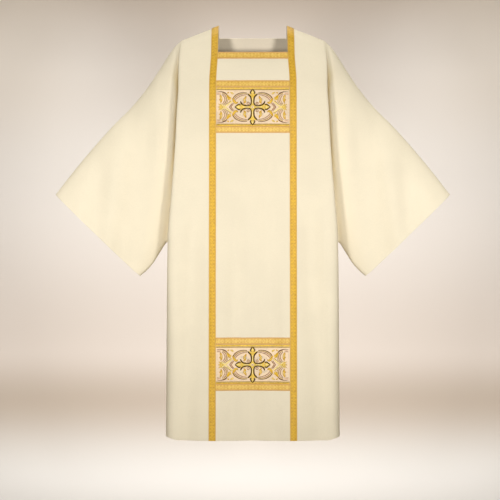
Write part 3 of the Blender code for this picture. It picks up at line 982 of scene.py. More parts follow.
class Relief:
    """Raised strokes of thread on a surface, gathered into one mesh."""

    ACROSS = np.array([-1.0, -0.72, -0.3, 0.3, 0.72, 1.0])
    RISE = np.array([0.0, 0.62, 0.95, 0.95, 0.62, 0.0])
    SLIM = 0.0009  # a stroke of a smaller half width is lower too
    SHARP = 60  # edges stay sharp where they turn by more degrees

    def __init__(self, surface, base):
        self.surface, self.base = surface, base
        self.points, self.faces, self.places, self.which = [], [], [], []
        self.count = 0

    def stroke(self, path, widths, height, finish, lift=0.0):
        """A domed stroke along a path of (across, up) places, with half widths in metres."""
        path, width = smooth_path(path, widths)
        width = width[:, None]
        spread = path[:, None] + left_of(path)[:, None] * (self.ACROSS[:, None] * width[..., None])
        points, outward = self.surface(spread[..., 0], spread[..., 1])
        slim = np.minimum(1, width / self.SLIM)
        points = points + outward * (self.base + lift + self.RISE * height * slim)[..., None]
        rows, columns = points.shape[:2]
        index = np.arange(rows * columns).reshape(rows, columns)
        run = np.broadcast_to(run_along(path)[:, None], (rows, columns))
        place = np.stack([self.ACROSS * width, run], axis=-1).reshape(-1, 2)
        faces = [
            [index[r, c], index[r, c - columns + 1], index[r + 1, c - columns + 1], index[r + 1, c]]
            for c in range(columns)
            for r in range(rows - 1)
        ]
        for face in [*faces, index[0, ::-1], index[-1]]:
            self.faces.append([self.count + int(i) for i in face])
            self.places += [tuple(place[i]) for i in face]
            self.which.append(finish)
        self.points.append(points.reshape(-1, 3))
        self.count += rows * columns

    def made(self, name, finishes):
        points = np.concatenate(self.points).tolist()
        return smooth_piece(name, points, self.faces, finishes, self.which, self.places, self.SHARP)


STROKE_STEP = 0.0022


def left_of(path):
    """Unit directions to the left of a path, at each of its places."""
    ahead = unit(np.gradient(path, axis=0))
    return np.stack([-ahead[:, 1], ahead[:, 0]], axis=-1)


def smooth_path(path, widths):
    """A smooth line through the places of a path, in short even steps, and the widths on it."""
    path = np.array(path, float)
    widths = np.broadcast_to(np.array(widths, float), (len(path),))
    step, run = steps(path), run_along(path)
    count = max(3, int(np.ceil(run[-1] / STROKE_STEP)) + 1)
    spots = np.linspace(0, run[-1], count)
    tangent = np.gradient(path, run, axis=0) if len(path) > 2 else np.diff(path, axis=0) / run[-1]
    tangent = np.broadcast_to(tangent, path.shape)
    i = np.clip(np.searchsorted(run, spots, side="right") - 1, 0, len(step) - 1)
    t, length = ((spots - run[i]) / step[i])[:, None], step[i][:, None]
    smooth = cubic(path[i], path[i + 1], tangent[i], tangent[i + 1], t, length)
    return smooth, np.interp(spots, run, widths)


# ---------------------------------------------------------------------------------------------
# The embroidered ornament, in millimetres from the middle of a band
# ---------------------------------------------------------------------------------------------

UMBER, YELLOW, PALE, ROSE, MAUVE, FLAME, BERRY, OLIVE, AMBER, MIST = range(10)
THREADS = (
    ("umber silk", (0.075, 0.032, 0.003), 0.0, 0.6),
    ("yellow silk", (0.88, 0.60, 0.095), 0.05, 0.45),
    ("pale yellow silk", (0.96, 0.80, 0.36), 0.05, 0.45),
    ("rose silk", (0.77, 0.50, 0.33), 0.0, 0.55),
    ("mauve silk", (0.19, 0.072, 0.022), 0.0, 0.55),
    ("flame silk", (0.44, 0.21, 0.02), 0.0, 0.5),
    ("grey mauve silk", (0.33, 0.160, 0.055), 0.0, 0.55),
    ("olive yellow silk", (0.42, 0.28, 0.06), 0.0, 0.55),
    ("amber silk", (0.74, 0.43, 0.020), 0.05, 0.5),
    ("pale grey silk", (0.86, 0.71, 0.54), 0.0, 0.6),
)

Line = namedtuple("Line", "path widths height finish lift")
EDGING = 2.6  # how far an outline shows past what it edges


def line(path, widths, height, finish, lift=0.0):
    return Line(np.array(path, float), np.array(widths, float), height, finish, lift)


def edged(path, widths, height, finish, edge=UMBER, edging=EDGING):
    """A raised stroke over a wider, flatter one that edges it."""
    widths = np.array(widths, float)
    return [
        line(path, widths + edging, 0.35, edge),
        line(path, widths, height, finish, 0.2),
    ]


def turned(lines, degrees):
    turn = np.radians(degrees)
    matrix = np.array([[np.cos(turn), np.sin(turn)], [-np.sin(turn), np.cos(turn)]])
    return [one._replace(path=one.path @ matrix) for one in lines]


def moved(lines, across, up):
    return [one._replace(path=one.path + (across, up)) for one in lines]


def flipped(lines, across=False, up=False):
    signs = (-1 if across else 1, -1 if up else 1)
    return [one._replace(path=one.path * signs) for one in lines]


def four_ways(lines):
    """The same in each quarter of the band."""
    ways = ((False, False), (True, False), (False, True), (True, True))
    return [one for across, up in ways for one in flipped(lines, across, up)]


def two_ways(lines):
    return lines + flipped(lines, across=True)


def beside(path, distance):
    """A path at a distance to the left of another, which may differ along it."""
    path = np.array(path, float)
    return path + left_of(path) * np.broadcast_to(distance, (len(path),))[:, None]


def scroll(path, half_width, dark):
    """A ribbon of rose silk with fine lines along it, and a dark one on its left edge. The dark
    one's half width is given at the path's start and end."""
    half = np.array(half_width, float)
    dark = np.linspace(*dark, len(half))
    ribbon = line(path, half, 0.3, ROSE)
    edge = line(beside(path, half), dark * eased(half / 2.5), 0.5, MAUVE, 0.05)
    inner = line(beside(path, -half), 0.8 * eased(half / 2.5), 0.45, BERRY, 0.05)
    veins = [
        line(beside(path, half * share), width * eased(half / 3), 0.3, finish, 0.28)
        for share, width, finish in ((0.5, 0.6, PALE), (0.1, 0.7, BERRY), (-0.45, 0.6, MIST))
    ]
    return [ribbon, edge, inner, *veins]


def leaf(across, up, degrees, length, width, finish, edge=FLAME, edging=0.9):
    """A pointed leaf with a lighter vein, from a place, at an angle from +across towards +up."""
    path = [(0, 0), (length * 0.3, 0), (length * 0.62, 0), (length, 0)]
    blade = edged(path, [width * 0.3, width, width * 0.72, 0.25], 0.7, finish, edge, edging)
    vein = line([(length * 0.12, 0), (length * 0.7, 0)], [0.6, 0.3], 0.25, PALE, 0.75)
    return moved(turned([*blade, vein], degrees), across, up)


def flame(places, width):
    """A wavering flame leaf through some places, with a lighter middle and a small tongue."""
    parts = edged(places, [0.4, *[width] * (len(places) - 2), 0.3], 0.7, AMBER, FLAME, 0.8)
    across, up = places[1]
    tongue = [(across, up), (across + width * 1.3, up + 0.8), (across + width * 1.9, up + 4.2)]
    parts += edged(tongue, [1.4, 1.3, 0.3], 0.6, AMBER, FLAME, 0.6)
    parts.append(line(places[1:-1], [0.4, *[width * 0.4] * (len(places) - 4), 0.4], 0.3, PALE, 0.85))
    return parts


def cross_arm(petal, foot, reach, lobe):
    """One arm of the cross fleury along +up: a flared stem, two horned petals and a lobe."""
    spread, height = petal
    stem = line([(0, 0), (0, 6), (0, 12), (0, 20), (0, 27), (0, foot)],
                [5.6, 4.4, 3.0, 2.9, 3.6, 3.0], 0.6, YELLOW)
    horn = [(0.8, height - 15), (spread * 0.2, height - 8), (spread * 0.5, height - 2.6)]
    petals = [line([*horn, (spread - 0.8, height - 0.4)], [2.2, 3.6, 2.6, 0.4], 0.6, YELLOW)]
    shares = np.array([0.0, 0.17, 0.38, 0.66, 1.0])
    up = foot + (reach - foot) * shares
    half = lobe * np.array([0.55, 1.0, 0.90, 0.50, 0.0])
    tip = line(np.stack([0 * up, up], axis=-1), np.maximum(half, 0.3), 0.7, YELLOW, 0.1)
    rim = line(np.stack([half, up], axis=-1), [1.0, 1.7, 1.8, 1.7, 1.3], 0.6, UMBER, 0.45)
    shine = [
        line([(0, 10), (0, 27)], [0.9, 1.1], 0.25, PALE, 0.6),
        line([(0, foot + 3), (0, reach - 4)], [2.2, 0.5], 0.25, PALE, 0.8),
    ]
    return [stem, *two_ways(petals), tip, *two_ways([rim]), *shine]


def cross_fleury():
    upright = cross_arm((15.5, 38.0), 38.0, 51.4, 6.4)
    level = cross_arm((16.6, 35.0), 35.0, 50.4, 7.8)
    arms = upright + flipped(upright, up=True) + turned(level, 90) + turned(level, -90)
    frame = [(14.6, 38.0), (10.4, 34.2), (5.6, 28.8), (3.8, 20.0), (3.9, 12.0), (6.4, 6.2)]
    frame += [(12.0, 3.8), (20.4, 4.0), (27.0, 5.8), (32.0, 9.8), (35.0, 16.2)]
    widths = [1.0, 2.2, 2.1, 1.8, 1.7, 1.7, 1.6, 1.7, 2.0, 2.2, 1.2]
    arms += four_ways([line(frame, widths, 0.6, UMBER, 0.45)])
    diamond = edged([(-6.6, 0), (0, 0), (6.6, 0)], [0.3, 5.2, 0.3], 0.5, PALE, OLIVE, 0.8)
    diamond = [one._replace(lift=one.lift + 0.5) for one in diamond]
    jewel = line([(-3.8, 0), (0, 0), (3.8, 0)], [0.3, 3.0, 0.3], 0.3, ROSE, 1.2)
    return [*arms, *diamond, jewel]


def arc(centre, radii, start, end, count=9):
    """Places on a stretch of an ellipse, by degrees from +across towards +up."""
    turn = np.radians(np.linspace(start, end, count))
    return np.stack(
        [centre[0] + radii[0] * np.cos(turn), centre[1] + radii[1] * np.sin(turn)], axis=-1
    )


def scrollwork():
    """The ornament round the cross: a broken ring, crossed bands, hoops and leaves."""
    ring = [(16.0, 38.2), (26.0, 37.8), (35.0, 35.8), (42.5, 32.2), (49.0, 27.2), (53.0, 21.5)]
    berry = line(arc((0, 0), (3.5, 3.5), 0, 345, 12), [1.0] * 12, 0.5, BERRY, 0.1)
    hooked = [(58.0, 25.4), (54.4, 19.6), (50.6, 13.6), (46.0, 11.6), (42.2, 14.8)]
    hoop = arc((89.0, 22.6), (13.6, 15.6), 96, 258, 13)
    hoop_widths = np.interp(np.arange(13), [0, 3, 10, 12], [2.6, 4.8, 4.4, 2.0])
    outline = [(103.0, 43.2), (94.5, 44.4), (84.0, 42.6), (77.0, 39.4), (72.5, 34.6)]
    strand = [(58.0, 17.4), (64.0, 12.8), (70.5, 7.8), (77.0, 2.6), (84.0, -3.4), (92.0, -9.6)]
    quarter = [
        *scroll(ring, [2.4, 3.6, 4.3, 4.6, 4.7, 4.2], (0.9, 1.6)),
        line([(7, 15), (17, 19), (30, 21), (42, 17)], [3.5, 10, 9.5, 5], 0.1, MIST),
        line([(102.5, 34), (102.5, 22), (102.5, 8)], [1.0, 2.0, 1.0], 0.1, MIST),
        *flame([(26.5, 10.5), (21.0, 15.6), (24.8, 20.2), (20.8, 25.4), (18.6, 31.5)], 2.6),
        line([(26.0, 9.6), (21.5, 6.8), (17.0, 8.0)], [0.4, 0.9, 0.3], 0.4, AMBER),
        *moved([berry], 12.9, 10.6),
        line([(11.6, 10.6), (14.2, 10.6)], [1.3, 1.3], 0.6, ROSE, 0.1),
        *edged(hooked, [0.8, 3.0, 3.4, 2.6, 0.3], 0.8, AMBER, FLAME, 0.8),
        line(hooked[1:4], [0.4, 1.5, 0.8], 0.3, YELLOW, 1.0),
        *leaf(65.4, 20.5, 60, 17.5, 4.4, AMBER),
        *leaf(67.0, 19.0, 118, 10.5, 2.3, YELLOW, AMBER),
        *leaf(55.0, 37.5, 30, 10.5, 2.4, YELLOW, OLIVE, 0.7),
        *leaf(73.0, 39.5, 150, 6.5, 2.0, AMBER, FLAME, 0.5),
        *scroll(hoop[::-1], hoop_widths[::-1], (0.5, 0.5)),
        line(outline, [0.5, 0.8, 1.4, 1.3, 0.4], 0.5, MAUVE, 0.1),
        line([(103, 39), (97, 40), (90, 40)], [1.6, 2.2, 0.8], 0.3, ROSE),
        line([(103, 36.4), (97, 37.2), (91, 36.8)], [0.5, 0.7, 0.3], 0.4, BERRY, 0.1),
        *flame([(91.4, 11.5), (90.0, 19.0), (90.2, 26.0), (91.6, 30.5), (93.4, 35.5)], 2.7),
        line([(90.5, 8.4), (88.5, 7.0)], [1.5, 0.4], 0.5, MAUVE, 0.1),
        *edged(strand, [0.8, 1.7, 1.9, 1.8, 1.7, 0.5], 0.5, PALE, AMBER, 0.9),
        line([(61.5, 18.6), (67.5, 13.8), (74, 8.6)], [0.4, 0.8, 0.3], 0.4, BERRY, 0.1),
        line([(52.5, 12.0), (57.5, 6.0), (62.0, 0.0)], [0.5, 1.0, 0.9], 0.5, BERRY, 0.1),
        line([(57.1, 12.0), (62.1, 6.0), (66.6, 0.0)], [0.5, 1.0, 0.9], 0.5, MAUVE, 0.1),
        line([(55.0, 11.6), (59.5, 6.2), (64.2, 0)], [0.6, 1.5, 1.3], 0.3, ROSE),
        *leaf(87.0, 0.5, 38, 13.5, 2.1, YELLOW, OLIVE, 0.7),
    ]
    half = leaf(78.0, 0, 0, 14.0, 2.3, YELLOW, OLIVE, 0.8)
    half += leaf(88.0, 0, 0, 11.0, 2.2, YELLOW, OLIVE, 0.8)
    return four_ways(quarter) + two_ways(half)


# ---------------------------------------------------------------------------------------------
# Settings, and the steps that make the pieces
# ---------------------------------------------------------------------------------------------


def number_setting(name, description, default, low, high, **kind):
    return FloatProperty(
        name=name, description=description, default=default, min=low, max=high, **kind
    )


def colour_setting(name, description, default):
    kind = {"size": 3, "min": 0.0, "max": 1.0, "subtype": "COLOR"}
    return FloatVectorProperty(name=name, description=description, default=default, **kind)


class DalmaticSettings(bpy.types.PropertyGroup):
    """What a maker would choose for this garment."""

    row_step: number_setting(
        "Row spacing",
        "Most distance between the rows of points that shape the cloth",
        0.006, 0.003, 0.02, unit="LENGTH",
    )
    waviness: number_setting(
        "Unevenness",
        "How far the hanging cloth waves, as a share of its usual slight waviness",
        1.0, 0.0, 2.0, subtype="FACTOR",
    )
    cloth_colour: colour_setting(
        "Cloth colour", "Colour of the cream cloth", (0.848, 0.767, 0.598)
    )
    inside_colour: colour_setting(
        "Inside colour", "Colour of the cloth's inner face", (0.86, 0.76, 0.60)
    )
    ground_colour: colour_setting(
        "Band ground colour", "Colour of the ground under the embroidery", (0.885, 0.688, 0.485)
    )
    stitch_spacing: number_setting(
        "Stitch spacing",
        "Distance from one hemming stitch to the next along a braid's edge",
        0.0058, 0.003, 0.02, unit="LENGTH",
    )
    stitch_length: number_setting(
        "Stitch length",
        "Length of the part of a hemming stitch that shows",
        0.0021, 0.0005, 0.005, unit="LENGTH",
    )
    stitch_seed: IntProperty(
        name="Stitch unevenness seed",
        description="Picks the slight differences between one hand stitch and the next",
        default=7,
        min=0,
    )
    light: number_setting(
        "Light",
        "Strength of the studio lights, as a share of their usual strength",
        1.0, 0.0, 4.0, subtype="FACTOR",
    )


def settings():
    return bpy.context.scene.dalmatic


def garment_cut():
    chosen = settings()
    return cut_garment(chosen.row_step, chosen.waviness)


STRIPE_BRAID = (0.56, 0.295, 0.008), (0.78, 0.48, 0.028), (0.68, 0.415, 0.062), 0.66, 0.1
BAND_BRAID = (0.675, 0.385, 0.054), (0.88, 0.61, 0.14), (0.655, 0.36, 0.098), 0.5, 0.05


@functools.cache
def finish_named(name):
    """A finish, made the first time that a step asks for it."""
    chosen = settings()
    cream, inside, ground = (
        tuple(one) for one in (chosen.cloth_colour, chosen.inside_colour, chosen.ground_colour)
    )
    make, *looks = {
        "cream cloth": (cloth_finish, cream, 620.0, 0.8, 0.05, 0.025),
        "cloth inside": (cloth_finish, inside, 900.0, 0.5, 0.1, 0.03),
        "band ground": (cloth_finish, ground, 420.0, 0.6, 0.2, 0.14),
        "stripe braid": (braid_finish, *STRIPE_BRAID),
        "band braid": (braid_finish, *BAND_BRAID),
        "bright cord": (thread_finish, (0.86, 0.57, 0.07), 0.2, 0.45),
        "deep cord": (thread_finish, (0.46, 0.29, 0.035), 0.2, 0.48),
        "stitch thread": (plain_finish, (0.72, 0.50, 0.16), 0.55),
        **{silk: (thread_finish, *looks) for silk, *looks in THREADS},
    }[name]
    return make(name, *looks)


def both_panels():
    """The name, the cut and the neck drop of the front and the back."""
    _, front, back, _ = garment_cut()
    return ("front", front, NECK_FRONT_DROP), ("back", back, NECK_BACK_DROP)


def neck_cells(last):
    """Picks out the cells of a neck opening that ends at a row."""
    left, right = NECK_COLUMNS
    return lambda row, column: (row < last) & (column >= left) & (column < right)


def hang(name, node, piece, sink, turn, mirror=1, **how):
    """A piece of cloth in place of its solid, whose outside sinks in at its edges, and whose wall
    is thicker on the inside where a hem is turned up."""
    outer = piece.moved_out(sink) * (mirror, 1, 1)
    inner = piece.moved_out(-CLOTH - turn[..., None]) * (mirror, 1, 1)
    finishes = [finish_named("cream cloth"), finish_named("cloth inside")]
    wear(shell(name, outer, inner, finishes, **how), node)


class OBJECT_OT_dalmatic_body(bpy.types.Operator):
    """Cuts and hangs the front and the back, with their square necks and turned-up hems"""

    bl_idname = "object.dalmatic_body"
    bl_label = "Front and back"

    def execute(self, context):
        drops = garment_cut().drops
        down = np.array(drops)[:, None]
        sides = [*SEAM_SINK, *((-1 - at, height) for at, height in SEAM_SINK)]
        for name, panel, neck_drop in both_panels():
            shape = panel.points.shape[:2]
            columns = np.arange(shape[1])
            hang(
                f"cloth_{name}",
                f"{name}_panel",
                panel,
                edge_heights(shape, [*SEAM_SINK, *HEM_ROLL], sides),
                hem_turn(LENGTH - down),
                skip=neck_cells(row_at(drops, neck_drop)),
                laid=lengths_on(panel.points),
                # painted shade for the cloth's colour, deepest along the armhole seams at the panel's
                # edges
                shade=seam_shade(down, np.minimum(columns, columns[::-1]), SHADE_COLUMNS),
            )
        return {"FINISHED"}


class OBJECT_OT_dalmatic_sleeves(bpy.types.Operator):
    """Cuts and hangs both wide sleeves, with their under seams and turned-up cuffs"""

    bl_idname = "object.dalmatic_sleeves"
    bl_label = "Sleeves"

    def execute(self, context):
        drops, _, _, sleeve = garment_cut()
        shape = sleeve.points.shape[:2]
        columns = np.arange(shape[1])
        seam_drops = np.array(drops)[np.minimum(columns, shape[1] - columns)]
        under_seam = [(shape[1] // 2 + at, height) for at, height in UNDER_SEAM_SINK]
        sink = edge_heights(shape, [*SEAM_SINK, *HEM_ROLL], under_seam)
        from_cuff = run_along(sleeve.points[::-1])[::-1]
        # painted shade for the cloth's colour, deepest beside the armhole seam
        shade = seam_shade(seam_drops, from_cuff[:1] - from_cuff, SHADE_REACH)
        for hand, mirror in (("right", 1), ("left", -1)):
            cloth, node = f"cloth_sleeve_{hand}", f"sleeve_{hand}"
            hang(cloth, node, sleeve, sink, hem_turn(from_cuff), mirror, ring=True, shade=shade)
        return {"FINISHED"}


def between_stripes(panel):
    return Laid(panel, garment_cut().drops, NECK_COLUMNS)


def strips():
    """Each strip across the front: its name, its top drop and its height."""
    for name, top in (("chest", CHEST_BAND_TOP), ("lower", LOWER_BAND_TOP)):
        yield f"{name}_braid_upper", top, BRAID_WIDTH
        yield f"{name}_band", top + BRAID_WIDTH, BAND_HEIGHT
        yield f"{name}_braid_lower", top + BRAID_WIDTH + BAND_HEIGHT, BRAID_WIDTH


BRAIDS = [strip for strip in strips() if "braid" in strip[0]]
BANDS = [strip for strip in strips() if "braid" not in strip[0]]


def strip_width(laid, drop):
    """Metres across the cloth between a laid stretch's columns, at a drop."""
    points = laid.at(np.full(65, drop), np.linspace(0, 1, 65))[0]
    return float(steps(points).sum())


class OBJECT_OT_dalmatic_braids(bpy.types.Operator):
    """Lays the two stripes over the shoulders, the neck braids and the braids by the bands"""

    bl_idname = "object.dalmatic_braids"
    bl_label = "Gold braids"

    def execute(self, context):
        _, front, back, _ = garment_cut()
        for hand, columns in STRIPE_COLUMNS.items():
            stretch = over_shoulder(front, back, columns)
            run = run_along(stretch.points[:, stretch.points.shape[1] // 2])
            laid = Laid(stretch, run, (0, columns[1] - columns[0]))
            self.stripe(f"stripe_{hand}", laid, run[-1])
        for side, panel, drop in both_panels():
            self.level(f"neck_braid_{side}", between_stripes(panel), drop)
        for name, top, _ in BRAIDS:
            self.level(name, between_stripes(front), top)
        return {"FINISHED"}

    @staticmethod
    def stripe(name, laid, length):
        """A braid that runs down the laid stretch."""
        even = np.linspace(0, 1, len(STRIPE_SHARES))

        def at(along_it, across):
            return laid.at(along_it, np.interp((across + 1) / 2, STRIPE_SHARES, even))

        braid(f"braid_{name}", name, at, length, finish_named("stripe braid"))

    @staticmethod
    def level(name, laid, top):
        """A braid that runs across the laid stretch, below a drop."""
        width = strip_width(laid, top + BRAID_WIDTH / 2)

        def at(along_it, across):
            return laid.at(top + BRAID_WIDTH * (across + 1) / 2, along_it / width)

        braid(name, name, at, width, finish_named("band braid"))


def band_surface(laid, middle, half_width):
    """Reads a band's cloth by metres across and up from the middle of its ornament."""
    return lambda across, up: laid.at(middle - up, (across / half_width + 1) / 2)


ORNAMENT_ASIDE, ORNAMENT_DROP = -0.0007, 0.0018  # from a band's middle to its ornament's
CORDS = named_rows(
    "up half_width finish",
    (0.0545, 0.0024, 0),
    (0.0503, 0.0017, 1),
    (-0.0522, 0.0016, 0),
    (-0.0491, 0.0015, 1),
)
CORD_HEIGHT = 0.0009
CORD_INSET = 0.0008  # from the ends of a band to the ends of its cords
GROUND_EDGE = 0.4  # height of a ground's edge, as a share of its thickness
DESIGN_INSET = 0.0016  # from the ends of a band to its ornament


class OBJECT_OT_dalmatic_bands(bpy.types.Operator):
    """Lays the two grounds, with a bright and a deep couched cord along each long edge"""

    bl_idname = "object.dalmatic_bands"
    bl_label = "Band grounds and cords"

    def execute(self, context):
        laid = between_stripes(garment_cut().front)
        inset = SEAM_GAP / 2
        finishes = [finish_named(f"{tone} cord") for tone in ("bright", "deep")]
        for name, top, height in BANDS:
            down = [0, 0.0008, *np.linspace(0.003, height - 0.003, 42), height - 0.0008, height]
            down = np.array(down)[:, None]
            share = np.array([0, 0.004, *np.linspace(0.012, 0.988, 80), 0.996, 1])[None]
            width = strip_width(laid, top + height / 2)
            spread = inset / width + share * (1 - 2 * inset / width)
            points, outward = laid.at(np.clip(top + down, top + inset, top + height - inset), spread)
            rise = np.full(points.shape[:2], BAND_THICK)
            for edge in (0, -1):
                rise[edge] = rise[:, edge] = BAND_THICK * GROUND_EDGE
            outer = points + outward * (SEAM_GAP + rise)[..., None]
            laid_out = np.broadcast_arrays((share - 0.5) * width, down)
            inner, finish = points + outward * UNDERSIDE, finish_named("band ground")
            ground = shell(f"ground_{name}", outer, inner, [finish], laid=laid_out)
            wear(ground, name)
            surface = band_surface(laid, top + height / 2 + ORNAMENT_DROP, width / 2)
            cords = Relief(surface, SEAM_GAP + BAND_THICK * 0.7)
            across = np.linspace(CORD_INSET - width / 2, width / 2 - CORD_INSET, 25)
            for cord in CORDS:
                path = np.stack([across, np.full(25, cord.up)], axis=-1)
                cords.stroke(path, cord.half_width, CORD_HEIGHT, cord.finish)
            wear(cords.made(f"cords_{name}", finishes))
        return {"FINISHED"}


class OBJECT_OT_dalmatic_embroidery(bpy.types.Operator):
    """Works the cross fleury, and the scrolls and leaves round it, on both bands"""

    bl_idname = "object.dalmatic_embroidery"
    bl_label = "Embroidery"

    def execute(self, context):
        laid = between_stripes(garment_cut().front)
        silks = [finish_named(thread[0]) for thread in THREADS]
        designs = ("scrolls", scrollwork(), 0.0), ("cross", cross_fleury(), 0.0008)
        for name, top, band_height in BANDS:
            middle = top + band_height / 2 + ORNAMENT_DROP
            half_width = strip_width(laid, middle) / 2
            surface = band_surface(laid, middle, half_width)
            room = half_width - DESIGN_INSET
            for design, lines, over in designs:
                relief = Relief(surface, SEAM_GAP + BAND_THICK * 0.9 + over)
                for one in lines:
                    path = one.path / 1000 + (ORNAMENT_ASIDE, 0)
                    path[:, 0] = np.clip(path[:, 0], -room, room)
                    widths, height, lift = (part / 1000 for part in one[1:3] + one[4:])
                    relief.stroke(path, widths, height, one.finish, lift)
                wear(relief.made(f"{design}_{name}", silks))
        return {"FINISHED"}


STITCH_THICK = 0.00055
STITCH_SLANT = 0.35
STITCH_RISE = 0.00075  # over the cloth, at the middle of a stitch
STITCH_INSET = 0.0004  # from a braid's edge to the middle of a stitch
LEVEL_PLACES = 60  # of a line of stitches across the cloth
STITCH_INPUTS = {
    "Spacing": "Float",
    "Length": "Float",
    "Thickness": "Float",
    "Slant": "Float",
    "Seed": "Int",
    "Thread": "Material",
}


@functools.cache
def stitch_tree():
    """Stitches set at even steps along lines that carry the cloth's outward direction."""
    tree = bpy.data.node_groups.new("hand stitches", "GeometryNodeTree")
    for label, kind in {"Geometry": "Geometry", **STITCH_INPUTS}.items():
        tree.interface.new_socket(label, in_out="INPUT", socket_type=f"NodeSocket{kind}")
    tree.interface.new_socket("Geometry", in_out="OUTPUT", socket_type="NodeSocketGeometry")
    nodes = Nodes(tree)
    entry = nodes.add("NodeGroupInput").outputs
    spaced = nodes.out(
        "GeometryNodeResampleCurve",
        {
            "Curve": nodes.out("GeometryNodeMeshToCurve", {"Mesh": entry["Geometry"]}),
            "Length": entry["Spacing"],
        },
        mode="LENGTH",
    )
    outward, sideways = (
        nodes.out("GeometryNodeInputNamedAttribute", {"Name": name}, data_type="FLOAT_VECTOR")
        for name in ("outward", "sideways")
    )
    jitter, varied = (
        nodes.add(
            "FunctionNodeRandomValue", {2: low, 3: high, "Seed": entry["Seed"]}, data_type="FLOAT"
        ).outputs[1]
        for low, high in ((-0.22, 0.22), (0.85, 1.15))
    )
    slant = nodes.plus(entry["Slant"], jitter)
    leaning = nodes.vector("SCALE", nodes.out("GeometryNodeInputTangent"), slant)
    upright = nodes.out("FunctionNodeAlignRotationToVector", {"Vector": outward}, axis="Z")
    across = {"Rotation": upright, "Vector": nodes.vector("ADD", sideways, leaning)}
    faced = nodes.out("FunctionNodeAlignRotationToVector", across, axis="X", pivot_axis="Z")
    size = {0: entry["Length"], 1: entry["Thickness"], 2: entry["Thickness"]}
    stitch = {"Segments": 6, "Rings": 4, "Radius": 0.5}
    placed = nodes.out(
        "GeometryNodeInstanceOnPoints",
        {
            "Points": spaced,
            "Instance": nodes.out("GeometryNodeMeshUVSphere", stitch),
            "Rotation": faced,
            "Scale": nodes.vector("SCALE", nodes.out("ShaderNodeCombineXYZ", size), varied),
        },
    )
    real = nodes.out("GeometryNodeRealizeInstances", {"Geometry": placed})
    dressed = {"Geometry": real, "Material": entry["Thread"]}
    nodes.add("NodeGroupOutput", {"Geometry": nodes.out("GeometryNodeSetMaterial", dressed)})
    return tree


def at_edge(points, outward, sideways):
    """Where stitches lie along a braid's edge, with the directions out from it."""
    return points + outward * STITCH_RISE - sideways * STITCH_INSET, outward, sideways


def sewn(name, lines):
    """Hand stitches along lines of (points, outward, sideways), as one mesh."""
    chosen = settings()
    points, outward, sideways = (np.concatenate(part) for part in zip(*lines))
    ends = np.cumsum([len(one[0]) for one in lines])
    edges = [(i, i + 1) for i in range(len(points) - 1) if i + 1 not in ends]
    mesh = bpy.data.meshes.new(name)
    mesh.from_pydata(points.tolist(), edges, [])
    for label, values in (("outward", outward), ("sideways", sideways)):
        layer = mesh.attributes.new(label, "FLOAT_VECTOR", "POINT")
        layer.data.foreach_set("vector", values.astype(np.float32).ravel())
    guide = linked(f"{name}_guide", mesh)
    modifier = guide.modifiers.new("stitches", "NODES")
    modifier.node_group = stitch_tree()
    inputs = (chosen.stitch_spacing, chosen.stitch_length, STITCH_THICK, STITCH_SLANT)
    inputs = dict(zip(STITCH_INPUTS, (*inputs, chosen.stitch_seed, finish_named("stitch thread"))))
    for item in modifier.node_group.interface.items_tree:
        if item.in_out == "INPUT" and item.name in inputs:
            modifier[item.identifier] = inputs[item.name]
    graph = bpy.context.evaluated_depsgraph_get()
    plain = bpy.data.meshes.new_from_object(guide.evaluated_get(graph), depsgraph=graph)
    bpy.data.objects.remove(guide)
    plain.name = name
    plain.shade_smooth()
    wear(linked(name, plain))


class OBJECT_OT_dalmatic_stitches(bpy.types.Operator):
    """Hems the edges of the braids to the cloth with small slanting stitches"""

    bl_idname = "object.dalmatic_stitches"
    bl_label = "Braid stitches"

    def execute(self, context):
        _, front, back, _ = garment_cut()
        lines = []
        for columns in STRIPE_COLUMNS.values():
            stretch = over_shoulder(front, back, columns)
            points, outward = stretch.points[2:-2], stretch.outward[2:-2]
            for at, inside in ((0, 1), (-1, -2)):
                sideways = unit(points[:, at] - points[:, inside])
                lines.append(at_edge(points[:, at], outward[:, at], sideways))
        sewn("stitches_stripes", lines)
        for name, panel, drop in both_panels():
            self.level(f"neck_{name}", between_stripes(panel), [(drop + BRAID_WIDTH, 1)])
        self.level("bands", between_stripes(front), self.band_edges())
        return {"FINISHED"}

    @staticmethod
    def band_edges():
        """The outer edges of the bands' braids, and which way leads out from each."""
        for name, top, height in BRAIDS:
            yield (top, -1) if name.endswith("upper") else (top + height, 1)

    @staticmethod
    def level(name, laid, edges):
        """Lines of stitches across the laid stretch, at drops."""
        share = np.linspace(0.006, 0.994, LEVEL_PLACES)
        lines = []
        for drop, below in edges:
            points, outward = laid.at(np.full(LEVEL_PLACES, drop), share)
            further = laid.at(np.full(LEVEL_PLACES, drop + 0.002 * below), share)[0]
            lines.append(at_edge(points, outward, unit(further - points)))
        sewn(f"stitches_{name}", lines)


FRONT_TRIMS = ("braid_", "neck_braid_front", "chest_", "lower_", "ground_")
FRONT_TRIMS += ("cords_", "scrolls_", "cross_", "stitches_")


class OBJECT_OT_dalmatic_declare(bpy.types.Operator):
    """Finds the rows and columns round each panel's neck opening, and does nothing more with them"""

    bl_idname = "object.dalmatic_declare"
    bl_label = "State the cut"

    def execute(self, context):
        drops, _, _, sleeve = garment_cut()
        for name, panel, neck_drop in both_panels():
            neck = slice(0, row_at(drops, neck_drop) + 1), slice(NECK_COLUMNS[0], NECK_COLUMNS[1] + 1)
        return {"FINISHED"}


